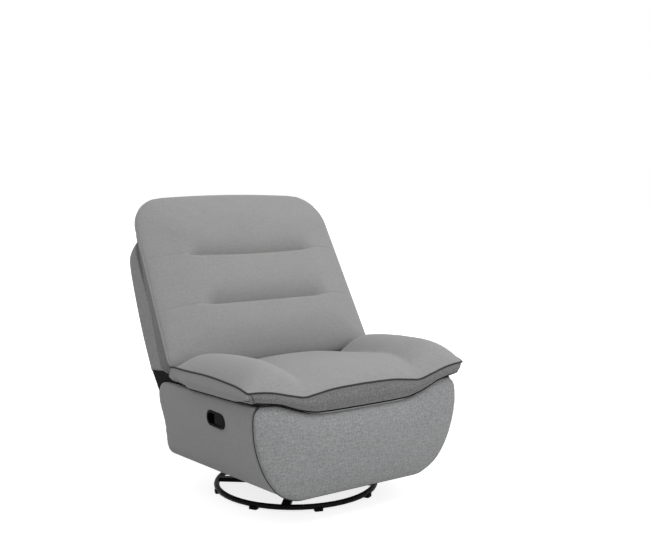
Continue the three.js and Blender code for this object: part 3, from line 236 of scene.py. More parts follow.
grain = math_node(weave, "MULTIPLY", math_node(weave, "SUBTRACT", fine, 0.5), given["Slub"])
shade = math_node(weave, "ADD", math_node(weave, "ADD", streaks, mottling), grain)
weave.links.new(math_node(weave, "ADD", shade, 1.0), made["Shade"])
bumps = math_node(weave, "ADD", math_node(weave, "MULTIPLY", crossed, 0.5), fine)
weave.links.new(bumps, made["Height"])
print("weave group", len(weave.nodes), "nodes")

# %% Cloth materials
def cloth_material(name, colour, threads, twill, slub, mottle, depth, sheen=0.25, wrapped=False):
    material = bpy.data.materials.new(name)
    material.use_nodes = True
    tree = material.node_tree
    tree.nodes.clear()
    lie = add(tree, "TexCoord").outputs["Object"] if wrapped else add(tree, "UVMap", uv_map="cloth").outputs[0]
    woven = tree.nodes.new("ShaderNodeGroup")
    woven.node_tree = weave
    tree.links.new(lie, woven.inputs["Vector"])
    for socket, value in (("Threads", threads), ("Twill", twill), ("Slub", slub), ("Mottle", mottle)):
        woven.inputs[socket].default_value = value
    tint = add(tree, "VectorMath", {0: colour, "Scale": woven.outputs["Shade"]}, operation="SCALE").outputs[0]
    relief = add(tree, "Bump", {"Height": woven.outputs["Height"], "Distance": depth, "Strength": 0.6})
    shader = add(tree, "BsdfPrincipled", {"Base Color": tint, "Roughness": 0.92, "Normal": relief.outputs[0],
                 "Sheen Weight": sheen, "Sheen Roughness": 0.5, "Specular IOR Level": 0.2})
    end = add(tree, "OutputMaterial")
    tree.links.new(shader.outputs[0], end.inputs["Surface"])
    return material


def grey(level, warmth=0.0):
    """An sRGB grey level of 0 to 255 as a linear colour, a little warmer or cooler."""
    value = (level / 255) ** 2.2
    return (value * (1 + warmth), value, value * (1 - warmth))


plain_fabric = cloth_material("plain_fabric", grey(148, 0.002), 450, 0.0, 0.13, 0.08, 0.0004)
coarse_fabric = cloth_material("coarse_fabric", grey(144, -0.012), 210, 0.5, 0.46, 0.12, 0.0014)
boxing_fabric = cloth_material("boxing_fabric", grey(117, 0.004), 260, 0.6, 0.50, 0.14, 0.0012)
shell_fabric = cloth_material("shell_fabric", grey(146, 0.0), 240, 0.8, 0.42, 0.12, 0.0012)
piping_cloth = cloth_material("piping_cloth", grey(58, 0.0), 900, 0.0, 0.12, 0.05, 0.0003, 0.1)
lining_cloth = cloth_material("lining_cloth", grey(10, 0.0), 700, 0.0, 0.15, 0.10, 0.0004, 0.02)
lining_wrap = cloth_material("lining_wrap", grey(10, 0.0), 700, 0.0, 0.15, 0.10, 0.0004, 0.02, wrapped=True)

# %% [markdown]
# The mechanism is powder-coated steel: fine orange peel under a half gloss, rubbed a little
# lighter in places. The same group, with other values, serves the plastics and the plating.

# %% Coating group
coating, given, made = new_group(
    "coating", [("Vector", "Vector"), ("Peel", "Float"), ("Wear", "Float")],
    [("Shade", "Float"), ("Gloss", "Float"), ("Height", "Float")])
peel = add(coating, "TexNoise", {"Vector": given["Vector"], "Scale": given["Peel"], "Detail": 2.0}).outputs[0]
rubbed = add(coating, "TexNoise", {"Vector": given["Vector"], "Scale": 14.0, "Detail": 5.0}).outputs[0]
worn = add(coating, "MapRange", {"Value": rubbed, "From Min": 0.45, "From Max": 0.75, "To Max": 1.0}).outputs[0]
worn = math_node(coating, "MULTIPLY", worn, given["Wear"])
coating.links.new(math_node(coating, "ADD", worn, 1.0), made["Shade"])
coating.links.new(math_node(coating, "MULTIPLY", math_node(coating, "SUBTRACT", rubbed, 0.5), given["Wear"]),
                  made["Gloss"])
coating.links.new(peel, made["Height"])


def coated_material(name, colour, metallic, roughness, peel_scale, wear, depth, specular=0.5):
    material = bpy.data.materials.new(name)
    material.use_nodes = True
    tree = material.node_tree
    tree.nodes.clear()
    place = add(tree, "TexCoord").outputs["Object"]
    coat = tree.nodes.new("ShaderNodeGroup")
    coat.node_tree = coating
    tree.links.new(place, coat.inputs["Vector"])
    coat.inputs["Peel"].default_value = peel_scale
    coat.inputs["Wear"].default_value = wear
    tint = add(tree, "VectorMath", {0: colour, "Scale": coat.outputs["Shade"]}, operation="SCALE").outputs[0]
    rough = math_node(tree, "ADD", math_node(tree, "MULTIPLY", coat.outputs["Gloss"], 0.5), roughness)
    relief = add(tree, "Bump", {"Height": coat.outputs["Height"], "Distance": depth, "Strength": 0.4})
    shader = add(tree, "BsdfPrincipled", {"Base Color": tint, "Metallic": metallic, "Roughness": rough,
                 "Specular IOR Level": specular, "Normal": relief.outputs[0]})
    end = add(tree, "OutputMaterial")
    tree.links.new(shader.outputs[0], end.inputs["Surface"])
    return material


black_steel = coated_material("black_steel", (0.006, 0.006, 0.0065), 0.0, 0.42, 900, 0.3, 0.0002, 0.05)
zinc_steel = coated_material("zinc_steel", (0.42, 0.43, 0.44), 1.0, 0.38, 400, 0.2, 0.0001)
spring_steel = coated_material("spring_steel", (0.10, 0.10, 0.11), 1.0, 0.4, 400, 0.3, 0.0001)
black_plastic = coated_material("black_plastic", (0.005, 0.005, 0.0055), 0.0, 0.45, 2500, 0.2, 0.00015, 0.02)

# %% [markdown]
# Bare timber shows where the cover stops: stripes of early and late growth along the board,
# bent by a slow noise. A plywood face has wider, softer stripes.

# %% Timber
def timber_material(name, pale_tone, dark_tone, stripes, wander):
    material = bpy.data.materials.new(name)
    material.use_nodes = True
    tree = material.node_tree
    tree.nodes.clear()
    place = add(tree, "TexCoord").outputs["Object"]
    board = add(tree, "Mapping", {"Vector": place, "Scale": (1.0, 3.0, 9.0)}).outputs[0]
    rings = add(tree, "TexWave", {"Vector": board, "Scale": stripes, "Distortion": wander, "Detail": 3.0,
                "Detail Scale": 1.5}, bands_direction="DIAGONAL").outputs["Fac"]
    tone = add(tree, "Mix", {0: rings, 6: (*pale_tone, 1), 7: (*dark_tone, 1)}, data_type="RGBA").outputs[2]
    relief = add(tree, "Bump", {"Height": rings, "Distance": 0.0003, "Strength": 0.4})
    shader = add(tree, "BsdfPrincipled", {"Base Color": tone, "Roughness": 0.65, "Normal": relief.outputs[0]})
    end = add(tree, "OutputMaterial")
    tree.links.new(shader.outputs[0], end.inputs["Surface"])
    return material


hardwood = timber_material("hardwood", (0.50, 0.33, 0.17), (0.38, 0.22, 0.10), 9.0, 5.0)
plywood = timber_material("plywood", (0.58, 0.42, 0.25), (0.47, 0.31, 0.16), 3.0, 9.0)

# %% Frame finishes
slot_materials = {"black_steel": black_steel, "zinc_steel": zinc_steel, "spring_steel": spring_steel,
                  "black_plastic": black_plastic, "hardwood": hardwood, "plywood": plywood,
                  "lining_cloth": lining_cloth, "plain_fabric": plain_fabric, "coarse_fabric": coarse_fabric}
wrapped_boards = ("seat_rail_front", "seat_rail_rear", "seat_rail_left", "seat_rail_right",
                  "footrest_board", "back_board")
smooth_limit = math.radians(40)
for part in frame["record"]["subparts"]:
    holder = frame["nodes"][part["node"]]
    finish = lining_wrap if part["node"] in wrapped_boards else slot_materials[part["material_slot"]]
    holder.data.materials.clear()
    holder.data.materials.append(finish)
print(len(frame["nodes"]), "frame nodes finished")

# %% [markdown]
# The soft forms follow curves that are given as a few shares of a size. This reads such a
# table as one smooth line.

# %% Curves
def reading(table):
    def read(place):
        last = len(table) - 1
        if place <= table[0][0]:
            return table[0][1]
        if place >= table[last][0]:
            return table[last][1]
        i = next(k for k in range(last) if table[k + 1][0] > place)
        a, b = table[i], table[i + 1]
        t = (place - a[0]) / (b[0] - a[0])

        def slope(j):
            p, q = table[max(j - 1, 0)], table[min(j + 1, last)]
            return (q[1] - p[1]) / (q[0] - p[0]) * (b[0] - a[0])

        t2, t3 = t * t, t * t * t
        return ((2 * t3 - 3 * t2 + 1) * a[1] + (t3 - 2 * t2 + t) * slope(i)
                + (3 * t2 - 2 * t3) * b[1] + (t3 - t2) * slope(i + 1))
    return read


def lerp(a, b, share):
    return a + (b - a) * share


def smooth(value, low, high):
    t = min(max((value - low) / (high - low), 0), 1)
    return t * t * (3 - 2 * t)


def steps(low, high, count):
    return [lerp(low, high, i / count) for i in range(count + 1)]


# %% [markdown]
# A cushion is two surfaces sewn together round a band. Here a flat grid is extruded twice,
# which gives a thin closed box with a middle line round its wall. Then each vertex is moved
# to its place: the top layer to the face, the lowest to the back, the middle one to the band.
# Columns and rows crowd towards the edges, where the form rolls over.

# %% Stuffed form
def make_active(piece):
    deselect()
    piece.select_set(True)
    bpy.context.view_layer.objects.active = piece


def outward(piece):
    make_active(piece)
    bpy.ops.object.mode_set(mode="EDIT")
    bpy.ops.mesh.select_all(action="SELECT")
    bpy.ops.mesh.remove_doubles(threshold=0.00005)
    bpy.ops.mesh.normals_make_consistent(inside=False)
    bpy.ops.object.mode_set(mode="OBJECT")


def stuffed(name, columns, rows, face, band, back):
    deselect()
    bpy.ops.mesh.primitive_grid_add(x_subdivisions=columns, y_subdivisions=rows, size=2)
    piece = bpy.context.object
    piece.name = name
    piece.data.name = name
    bpy.ops.object.mode_set(mode="EDIT")
    bpy.ops.mesh.select_all(action="SELECT")
    for _ in range(2):
        bpy.ops.mesh.extrude_region_move(TRANSFORM_OT_translate={"value": (0, 0, 1)})
    bpy.ops.object.mode_set(mode="OBJECT")
    layers = (back, band, face)
    for vertex in piece.data.vertices:
        u, v = (math.sin(c * math.pi / 2) for c in vertex.co[:2])
        vertex.co = layers[round(vertex.co.z)](u, (v + 1) / 2)
    outward(piece)
    return piece


# %% [markdown]
# Foam under a cover pushes the cloth out between its seams. The pad is rebuilt as an even
# mesh, held along its seams, and blown up a little as cloth. How far a point may move is
# capped, and one subdivision smooths what is left.

# %% Blow up a pad
def apply_modifier(piece, kind, **options):
    make_active(piece)
    modifier = piece.modifiers.new(kind.lower(), kind)
    for name, value in options.items():
        setattr(modifier, name, value)
    bpy.ops.object.modifier_apply(modifier=modifier.name)


def places(piece):
    found = np.empty(len(piece.data.vertices) * 3, np.float32)
    piece.data.vertices.foreach_get("co", found)
    return found.reshape(-1, 3)


def move_to(piece, found):
    piece.data.vertices.foreach_set("co", np.ascontiguousarray(found, np.float32).ravel())
    piece.data.update()


def distances(found, seams):
    points = [p for seam in seams for p in seam]
    tree = KDTree(len(points))
    for i, point in enumerate(points):
        tree.insert(point, i)
    tree.balance()
    return np.array([tree.find(p)[2] for p in found])


def evened(piece, moved, held, rounds=30):
    """Evens out how far each point moves, so that the cover swells without creases."""
    ends = np.empty(len(piece.data.edges) * 2, np.int32)
    piece.data.edges.foreach_get("vertices", ends)
    a, b = ends.reshape(-1, 2).T
    share = 1 / np.bincount(ends, minlength=len(moved))[:, None]
    for _ in range(rounds):
        total = [np.bincount(a, moved[b, k], len(moved)) + np.bincount(b, moved[a, k], len(moved)) for k in range(3)]
        moved = np.stack(total, axis=1) * share
        moved[held] = 0
    return moved


def draw_to(piece, seams, reach=0.014):
    """Draws the cover out to its seam lines, which the even mesh has cut short."""
    found = places(piece)
    points = [Vector(p) for seam in seams for p in seam]
    short = np.array([p - piece.closest_point_on_mesh(p)[1] for p in points])
    tree = KDTree(len(points))
    for i, point in enumerate(points):
        tree.insert(point, i)
    tree.balance()
    nearest = [tree.find(p) for p in found]
    near = np.clip(1 - np.array([hit[2] for hit in nearest]) / reach, 0, 1)
    near = near * near * (3 - 2 * near)
    move_to(piece, found + short[[hit[1] for hit in nearest]] * near[:, None])


def blown(piece, seams, hold, cap, voxel=0.006, pressure=4.0, frames=20, drawn=None):
    apply_modifier(piece, "REMESH", mode="VOXEL", voxel_size=voxel)
    apply_modifier(piece, "SMOOTH", factor=0.5, iterations=4)
    start = places(piece)
    held = piece.vertex_groups.new(name="held")
    kept = np.nonzero(distances(start, seams) < hold)[0]
    for i in kept:
        held.add([int(i)], 1.0, "REPLACE")
    cloth = piece.modifiers.new("cloth", "CLOTH")
    cloth.settings.vertex_group_mass = "held"
    cloth.settings.use_pressure = True
    cloth.settings.uniform_pressure_force = pressure
    cloth.settings.effector_weights.gravity = 0
    cloth.settings.quality = 4
    cloth.collision_settings.use_collision = False
    cloth.point_cache.frame_end = frames
    for number in range(1, frames + 1):
        bpy.context.scene.frame_set(number)
    shown = piece.evaluated_get(bpy.context.evaluated_depsgraph_get())
    moved = places(shown) - start
    piece.modifiers.remove(cloth)
    piece.vertex_groups.remove(held)
    bpy.context.scene.frame_set(1)
    reach = np.linalg.norm(moved, axis=1, keepdims=True)
    print(piece.name, "moved by up to", round(float(reach.max()), 4), "m, capped at", cap)
    moved = moved * cap * np.tanh(reach / cap) / np.maximum(reach, 1e-9)
    crease = 0.12
    move_to(piece, start + lerp(evened(piece, moved, kept), moved, crease))
    apply_modifier(piece, "SMOOTH", factor=0.5, iterations=2)
    apply_modifier(piece, "SUBSURF", levels=1, render_levels=1)
    draw_to(piece, seams if drawn is None else drawn)
    print(piece.name, len(piece.data.polygons), "faces")


# %% [markdown]
# Cloth needs to know which way its threads run. Each face takes its UV from the two axes
# that it faces least, in metres, after the piece is turned upright.

# %% Lay the cloth
def lay_cloth(piece, lean=0.0):
    mesh = piece.data
    turn = np.array(Matrix.Rotation(lean, 3, "X"))
    found = places(piece) @ turn.T
    normals = np.empty(len(mesh.polygons) * 3, np.float32)
    mesh.polygons.foreach_get("normal", normals)
    facing = np.abs(normals.reshape(-1, 3) @ turn.T).argmax(axis=1)
    corner_vertex = np.empty(len(mesh.loops), np.int32)
    mesh.loops.foreach_get("vertex_index", corner_vertex)
    corners = np.empty(len(mesh.polygons), np.int32)
    mesh.polygons.foreach_get("loop_total", corners)
    facing = np.repeat(facing, corners)
    at = found[corner_vertex]
    across = np.where(facing == 0, at[:, 1], at[:, 0])
    up = np.where(facing == 2, at[:, 1], at[:, 2])
    layer = mesh.uv_layers.get("cloth") or mesh.uv_layers.new(name="cloth")
    layer.data.foreach_set("uv", np.stack([across, up], axis=1).astype(np.float32).ravel())


def dress(piece, materials, choose=None, lean=0.0):
    """Gives a piece its materials, its thread direction and a smooth surface."""
    for material in materials:
        piece.data.materials.append(material)
    if choose:
        for face in piece.data.polygons:
            face.material_index = choose(face.center, face.normal)
    lay_cloth(piece, lean)
    make_active(piece)
    bpy.ops.object.shade_smooth()


# %% [markdown]
# Piping is a cord in a folded strip of cloth, sewn into a seam. It is a round curve along
# the seam, turned into a mesh. Its UV runs along its length.

# %% Piping
def piping(name, points, radius, material, closed=False, sides=3):
    curve = bpy.data.curves.new(name, "CURVE")
    curve.dimensions = "3D"
    curve.bevel_depth = radius
    curve.bevel_resolution = sides
    curve.use_fill_caps = True
    spline = curve.splines.new("POLY")
    spline.points.add(len(points) - 1)
    for point, place in zip(spline.points, points):
        point.co = (*place, 1)
    spline.use_cyclic_u = closed
    cord = bpy.data.objects.new(name, curve)
    bpy.context.scene.collection.objects.link(cord)
    make_active(cord)
    bpy.ops.object.convert(target="MESH")
    cord = bpy.context.object
    cord.data.name = name
    outward(cord)
    dress(cord, [material])
    return cord


# %% [markdown]
# The seat is one broad cushion that overhangs the body. Its middle is crowned, and a bolster
# rises on each side behind a sewn fold. A dark piping runs along the top of the band, and
# dips where the folds meet it. The sizes come from the frame's plain seat solid.

# %% Seat sizes
seat_low, seat_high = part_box("seat_cushion")
boxing_bulge = 0.008
seat_half = seat_high.x - boxing_bulge / 4
seat_front = seat_low.y + boxing_bulge
seat_rear = seat_high.y
seat_foot = seat_low.z
seat_boxing = 0.101
seat_rear_z = 0.430
fold_x = 0.235
fold_rise = 0.050
middle_rise = 0.018
bolster_rise = 0.053
side_bulge = 0.006
top_inset = 0.15
under_pull = 0.045
front_lift = 0.015
corner_round = 0.008
rear_inset = 0.026
fold_sink = 0.018
fold_width = 0.05
deck_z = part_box("seat_spring_1")[1].z
panel_low, panel_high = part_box("side_panel_right")
seat_rise_shares = [(0, 0), (0.025, 0.42), (0.08, 0.76), (0.2, 0.97), (0.4, 1), (0.62, 0.95), (0.76, 0.86),
                    (0.85, 0.72), (0.92, 0.22), (1, 0)]
side_piping_shares = [(0, 0.93), (0.08, 1.03), (0.16, 1.07), (0.44, 1.09), (0.71, 1.02), (0.95, 0.95), (1, 0.83)]
front_piping_shares = [(0, 0.733), (0.27, 0.703), (0.45, 0.605), (0.527, 0.572), (0.64, 0.682), (0.785, 0.85), (0.9, 0.92),
                       (1, 0.93)]
front_foot_shares = [(0, 0), (0.4, 0.03), (0.545, 0.16), (0.64, 0.307), (0.73, 0.455), (0.93, 0.6), (1, 0.58)]
rise_at = reading(seat_rise_shares)
side_at = reading(side_piping_shares)
front_at = reading(front_piping_shares)
foot_at = reading(front_foot_shares)
print("seat", round(2 * seat_half, 3), "wide,", round(seat_rear - seat_front, 3), "deep")

# %% Seat form
side_edge_z = (0.4215, 0.3915)
over_panel = 0.010
seat_lip = 0.038
deck_half = 0.365


def piping_z(u, v):
    front = seat_foot + seat_boxing * front_at(abs(u))
    corner = seat_foot + seat_boxing * front_at(1)
    side = seat_foot + seat_boxing * side_at(v)
    ease = 1 - smooth(v, 0.95, 1) * 0.8
    return lerp(front, seat_rear_z, v) + abs(u) ** 4 * (side - lerp(corner, seat_rear_z, v)) * ease


def seat_crown(u, v):
    """The rise over the piping line. The folds are deep at the rear and fade to the front."""
    x = abs(u) * seat_half
    lift = front_lift * (1 - smooth(v, 0.25, 0.8))
    sink = fold_sink * smooth(v, 0.5, 0.85) * math.exp(-((x - fold_x) / fold_width) ** 2)
    if x < fold_x:
        return fold_rise + lift + (middle_rise - lift) * max(math.cos(math.pi * x / fold_x / 2), 0) ** 0.8 - sink
    t = min((x - fold_x) / (seat_half - fold_x), 1)
    return (fold_rise + lift) * (1 - t ** 3) + (bolster_rise - lift) * max(math.sin(math.pi * t), 0) ** 0.8 - sink


def seat_plan(u, v, inset):
    """Where a point lies seen from above, with round front corners and rear corners drawn in."""
    corner = abs(u) ** 14 * (1 - v) ** 20
    half = seat_half - corner_round * corner - rear_inset * inset * smooth(v, 0.72, 1)
    return u * half, lerp(seat_front, seat_rear, v) + corner_round * corner


def seat_top(u, v, fill=1.0):
    x, y = seat_plan(u, v, top_inset)
    return Vector((x, y, piping_z(u, v) + seat_crown(u, v) * rise_at(v) * fill))


def seat_under(u, v):
    x, y = seat_plan(u, v, 1)
    over_side = lerp(*side_edge_z, (y - panel_low.y) / (panel_high.y - panel_low.y)) + over_panel
    front_z = seat_foot + seat_boxing * foot_at(abs(u))
    if abs(x) > deck_half:
        z = lerp(max(front_z, over_side), over_side, smooth(y - seat_front, seat_lip, 3 * seat_lip))
    else:
        z = front_z if y < seat_front + seat_lip else deck_z + 0.0006
    squeeze = 1 - 0.042 * smooth(abs(u), 0.88, 1)
    y += boxing_bulge / 2 if v == 0 else -under_pull * smooth(v, 0.75, 1)
    return Vector((x * squeeze, y, z))


def seat_band(u, v):
    middle = (seat_top(u, v) + seat_under(u, v)) / 2
    if abs(u) == 1:
        middle.x = seat_plan(u, v, (1 + top_inset) / 2)[0] + math.copysign(side_bulge, u)
    if v == 0:
        middle.y -= boxing_bulge
    return middle


# %% Seat cushion
seat_fill = 0.9
seat = stuffed("seat_cover", 110, 80, lambda u, v: seat_top(u, v, seat_fill), seat_band, seat_under)
side_line = [seat_top(-1, v) for v in steps(1, 0, 90)]
front_line = [seat_top(u, 0) for u in steps(-1, 1, 180)]
top_seam = side_line + front_line[1:] + [Vector((-p.x, p.y, p.z)) for p in reversed(side_line)][1:]
foot_front = [seat_under(u, 0) for u in steps(-0.97, 0.97, 175)]
foot_side = [seat_under(1, v) for v in steps(0.02, 1, 88)]
foot_other = [Vector((-p.x, p.y, p.z)) for p in foot_side]
folds = [[seat_top(side * fold_x / seat_half, v, seat_fill) for v in steps(0.45, 1, 70)] for side in (-1, 1)]
seat_seams = [top_seam, foot_front, foot_side, foot_other]
blown(seat, seat_seams + folds, 0.008, 0.016, drawn=seat_seams)

# %% [markdown]
# After the pad is blown up its faces take their cloth by place: what lies above the piping
# line is the seat's top, the band at the front is the coarser, darker cloth, and the bands
# at the sides are plain.

# %% Seat cloth
TOP, FRONT_BAND, UNDER = 0, 1, 2
front_reach = 0.030
band_share = 0.98


def seat_cloth(centre, normal):
    u = min(max(centre.x / seat_half, -1), 1)
    v = min(max((centre.y - seat_front) / (seat_rear - seat_front), 0), 1)
    if normal.z < -0.75:
        return UNDER
    low = centre.z < piping_z(u, v)
    if low and centre.y < seat_front + front_reach and normal.y < -0.5 and abs(u) < band_share:
        return FRONT_BAND
    return TOP


dress(seat, [plain_fabric, boxing_fabric, lining_cloth], seat_cloth)
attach(seat, "carriage")
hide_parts("seat_cushion")

# %% Seat piping
seat_cord = 0.0032
cord_trim = 4
seat_piping = piping("seat_piping", top_seam[cord_trim:-cord_trim], seat_cord, piping_cloth)
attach(seat_piping, "carriage")

# %% [markdown]
# A black piping closes the cushion's lower seam. Its near-black colour is partly painted shadow:
# it stands for the dark shade in the gap under the bands as well as for the cord. Below it, at the
# middle of the front, shows a strip of plain cloth, the rolled edge of the cloth that covers the
# springs. At each front corner a seam joins the coarse front band to the plain side band. A seam
# lies in the surface, so its points are dropped onto the finished cover.

# %% Seat lower seams
def laid_on(points, piece, proud=0.0):
    laid = []
    for point in points:
        _, place, normal, _ = piece.closest_point_on_mesh(point)
        laid.append(place + normal * proud)
    return laid


def joined(ends, per_span=10):
    """A straight-sided line through a few places, as closely spaced points."""
    return [ends[0]] + [a.lerp(b, i / per_span) for a, b in zip(ends, ends[1:]) for i in range(1, per_span + 1)]


lip_reach = 0.5
foot_seam = list(reversed(foot_other)) + foot_front + foot_side
# The lower piping is a seam cord coloured near black, partly as painted shadow of the gap under the seat's bands.
lower_piping_and_gap_shadow = piping("seat_lower_piping_and_gap_shadow", laid_on(foot_seam, seat, 0.0004), 0.0026, lining_cloth)
lip = [seat_under(u, 0) + Vector((0, 0.004 + 0.02 * smooth(abs(u) / lip_reach, 0.7, 1), -0.0042))
       for u in steps(-lip_reach, lip_reach, 140)]
lip_roll = piping("seat_lip_roll", lip, 0.0034, plain_fabric)
corner_seams = []
for side, word in ((-1, "left"), (1, "right")):
    drop = [place(side * band_share, 0) for place in (seat_top, seat_band, seat_under)]
    drop[-1] = drop[-2].lerp(drop[-1], 0.8)
    corner_seams.append(piping(f"boxing_seam_{word}", laid_on(joined(drop), seat), 0.0012, piping_cloth))
for cord in (lower_piping_and_gap_shadow, lip_roll, *corner_seams):
    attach(cord, "carriage")
print("lower seam of", len(lip), "points")

# %% [markdown]
# The back leans, so it is drawn upright and then tilted: s runs up the lean and d runs back
# from its front. Its cushion rolls over to a self-coloured piping all round. Two sewn
# channels cross the front. Each is a sharp crease with a soft roll hanging over it.

# %% Back sizes
back_lean = math.radians(31.24)
back_y = axis_y + 0.139
back_z = 0.574
back_foot = -0.112
back_top = 0.582
half_foot = 0.434
half_top = 0.418
round_top = 0.133
round_foot = 0.050
piping_depth = 0.052
back_depth = 0.120
back_crown = 0.022
back_arch = 0.009
back_rear_inset = 0.036
back_foot_rise = 0.014


def leaning(x, s, d):
    return Vector((x, back_y + s * math.sin(back_lean) + d * math.cos(back_lean),
                   back_z + s * math.cos(back_lean) - d * math.sin(back_lean)))


def rounded_half(s, foot, top, low_half, high_half, foot_round, top_round):
    def arc(into, radius):
        return radius - math.sqrt(max(radius * radius - into * into, 0)) if into > 0 else 0
    half = lerp(low_half, high_half, (s - foot) / (top - foot))
    return half - arc(s - (top - top_round), top_round) - arc(foot + foot_round - s, foot_round)


def back_half(s):
    return rounded_half(s, back_foot, back_top, half_foot, half_top, round_foot, round_top)


def rolled(share):
    return (1 - min(abs(share), 1) ** 6) ** 0.45


# %% Back cushion
def back_wall(u, v, share, swell=0.0):
    """A place on the back's wall, from its front piping at share 0 to its rear seam at share 1."""
    half = back_half(lerp(back_foot, back_top, v)) - back_rear_inset * v * share
    s = lerp(back_foot + back_foot_rise * share, back_top, v) + back_arch * (1 - u * u) * v ** 4 * (1 - share)
    return leaning(u * (half + swell), s + (swell if v == 1 else 0), lerp(piping_depth, back_depth, share))


def back_face(u, v, fill=0.7):
    s = lerp(back_foot, back_top, v)
    roll = rolled(u) * rolled(2 * v - 1)
    crown = back_crown * (1 - u * u) * max(1 - (2 * v - 1) ** 2, 0) ** 0.5
    return leaning(u * back_half(s), s + back_arch * (1 - u * u) * v ** 4, piping_depth * (1 - roll) - crown * fill)


def back_rear(u, v):
    return back_wall(u, v, 1)


def back_band(u, v):
    return back_wall(u, v, 0.5, 0.001 if abs(u) == 1 or v == 1 else 0)


def outline_at(share, count=120):
    """The back's outline, from one foot over the top to the other."""
    left = [back_wall(-1, v, share) for v in steps(0, 1, count)]
    across = [back_wall(u, 1, share) for u in steps(-1, 1, count)]
    right = [Vector((-p.x, p.y, p.z)) for p in reversed(left)]
    return left + across[1:-1] + right


back = stuffed("back_cover", 100, 100, back_face, back_band, back_rear)
foot_line = [back_wall(u, 0, 0) for u in steps(-1, 1, 160)]
blown(back, [outline_at(0), outline_at(1), foot_line], 0.008, 0.014)

# %% [markdown]
# The channels come after the cloth work, because the even mesh would wipe out anything
# finer than its cells. The crease is steep below and runs out slowly above, so the cushion
# hangs over it. From each end a fine seam goes on to the piping.

# %% Channels
channel_heights = (0.107, 0.302)
channel_halves = (0.246, 0.256)
channel_lifts = (0.003, 0.011)
channel_fade = 0.042
crease_depth = 0.034
crease_under = 0.006
crease_over = 0.034
seam_depth = 0.0022
seam_width = 0.004
puff_rise = 0.010


def channel_press(x, s):
    """How far the channels and seams press the front in, and the panels between swell out."""
    press = np.zeros_like(x)
    for height, half, lift in zip(channel_heights, channel_halves, channel_lifts):
        line = height + lift * np.minimum(np.abs(x) / half, 1.25) ** 2
        off = s - line
        t = np.clip((np.abs(x) - half + channel_fade) / (2 * channel_fade), 0, 1)
        along = 1 - t * t * (3 - 2 * t)
        over = np.exp(-(np.maximum(off, 0) / crease_over) ** 1.3)
        under = np.exp(-(np.maximum(-off, 0) / crease_under) ** 1.5)
        press += crease_depth * along * over * under
        press += seam_depth * (1 - along) * np.exp(-(off / seam_width) ** 2)
    bounds_at = (back_foot, *channel_heights, back_top)
    for low, high in zip(bounds_at, bounds_at[1:]):
        share = np.clip((s - low) / (high - low), 0, 1)
        swell = np.clip(np.sin(math.pi * share), 0, 1) ** 1.2
        press -= puff_rise * swell * np.clip(1 - (np.abs(x) / half_foot) ** 2, 0, 1)
    return press


found = places(back)
sine, cosine = math.sin(back_lean), math.cos(back_lean)
up_lean = (found[:, 1] - back_y) * sine + (found[:, 2] - back_z) * cosine
into = (found[:, 1] - back_y) * cosine - (found[:, 2] - back_z) * sine
frontness = 1 - np.clip(into / piping_depth, 0, 1)
press = channel_press(found[:, 0], up_lean) * frontness
found[:, 1] += press * cosine
found[:, 2] -= press * sine
move_to(back, found)
print("deepest channel", round(float(press.max()), 4))


def back_cloth(centre, normal):
    into = (centre.y - back_y) * cosine - (centre.z - back_z) * sine
    return 1 if into > piping_depth else 0


dress(back, [plain_fabric, boxing_fabric], back_cloth, back_lean)
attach(back, "back")
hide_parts("back_cushion")

# %% Back piping
back_cord = 0.0042
front_welt = piping("back_front_piping", outline_at(0), back_cord, plain_fabric)
rear_welt = piping("back_rear_piping", outline_at(1), 0.0030, shell_fabric)
for cord in (front_welt, rear_welt):
    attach(cord, "back")

# %% [markdown]
# Behind the cushion a hollow shell, narrower and lower than the cushion, closes the back.
# It is deepest at its foot. Its cover is two side strips and a rear panel, sewn along the
# rear corners.

# %% Shell
shell_half = 0.408
shell_top = 0.470
shell_foot_front = -0.094
shell_foot_rear = -0.060
shell_side_lift = (0.018, 0.036)
shell_round = 0.074
shell_edge_drop = 0.024
shell_depth = 0.270
shell_front = back_depth + 0.0126
shell_depth_shares = [(0, 1), (0.3, 0.981), (0.62, 0.907), (0.82, 0.83), (0.91, 0.741), (0.97, 0.622), (1, 0.537)]
depth_at = reading(shell_depth_shares)


def shell_half_at(s):
    return rounded_half(s, shell_foot_front, shell_top, shell_half, shell_half, 0, shell_round)


def shell_rear(u, v):
    s = lerp(shell_foot_rear + shell_side_lift[1] * abs(u) ** 3, shell_top, v)
    drop = shell_edge_drop * (1 - (1 - abs(u) ** 8) ** (1 / 3))
    return leaning(u * shell_half_at(s), s, max(shell_depth * depth_at(v) - drop, shell_front + 0.013))


def shell_inner(u, v):
    s = lerp(shell_foot_front + shell_side_lift[0] * abs(u) ** 3, shell_top, v)
    return leaning(u * shell_half_at(s), s, shell_front)


def shell_band(u, v):
    return (shell_rear(u, v) + shell_inner(u, v)) / 2


shell = stuffed("back_shell_cover", 90, 90, shell_rear, shell_band, shell_inner)
apply_modifier(shell, "REMESH", mode="VOXEL", voxel_size=0.006)
apply_modifier(shell, "SMOOTH", factor=0.5, iterations=4)
dress(shell, [shell_fabric], None, back_lean)
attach(shell, "back")
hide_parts("back_shell")

# %% Shell piping
corner_share = 0.985
shell_seam = [shell_rear(-corner_share, v) for v in steps(0, 1, 80)]
shell_seam += [shell_rear(u, 1) for u in steps(-corner_share, corner_share, 80)][1:]
shell_seam += [Vector((-p.x, p.y, p.z)) for p in reversed(shell_seam[:81])]
shell_piping = piping("shell_piping", shell_seam, 0.0030, shell_fabric)
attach(shell_piping, "back")

# %% [markdown]
# The front panel is the footrest. It is a padded board whose outline repeats the tub of the
# side panels, with a dip along the top for the seat. Its cover rolls back on all sides to a
# dark piping at the rear edge.

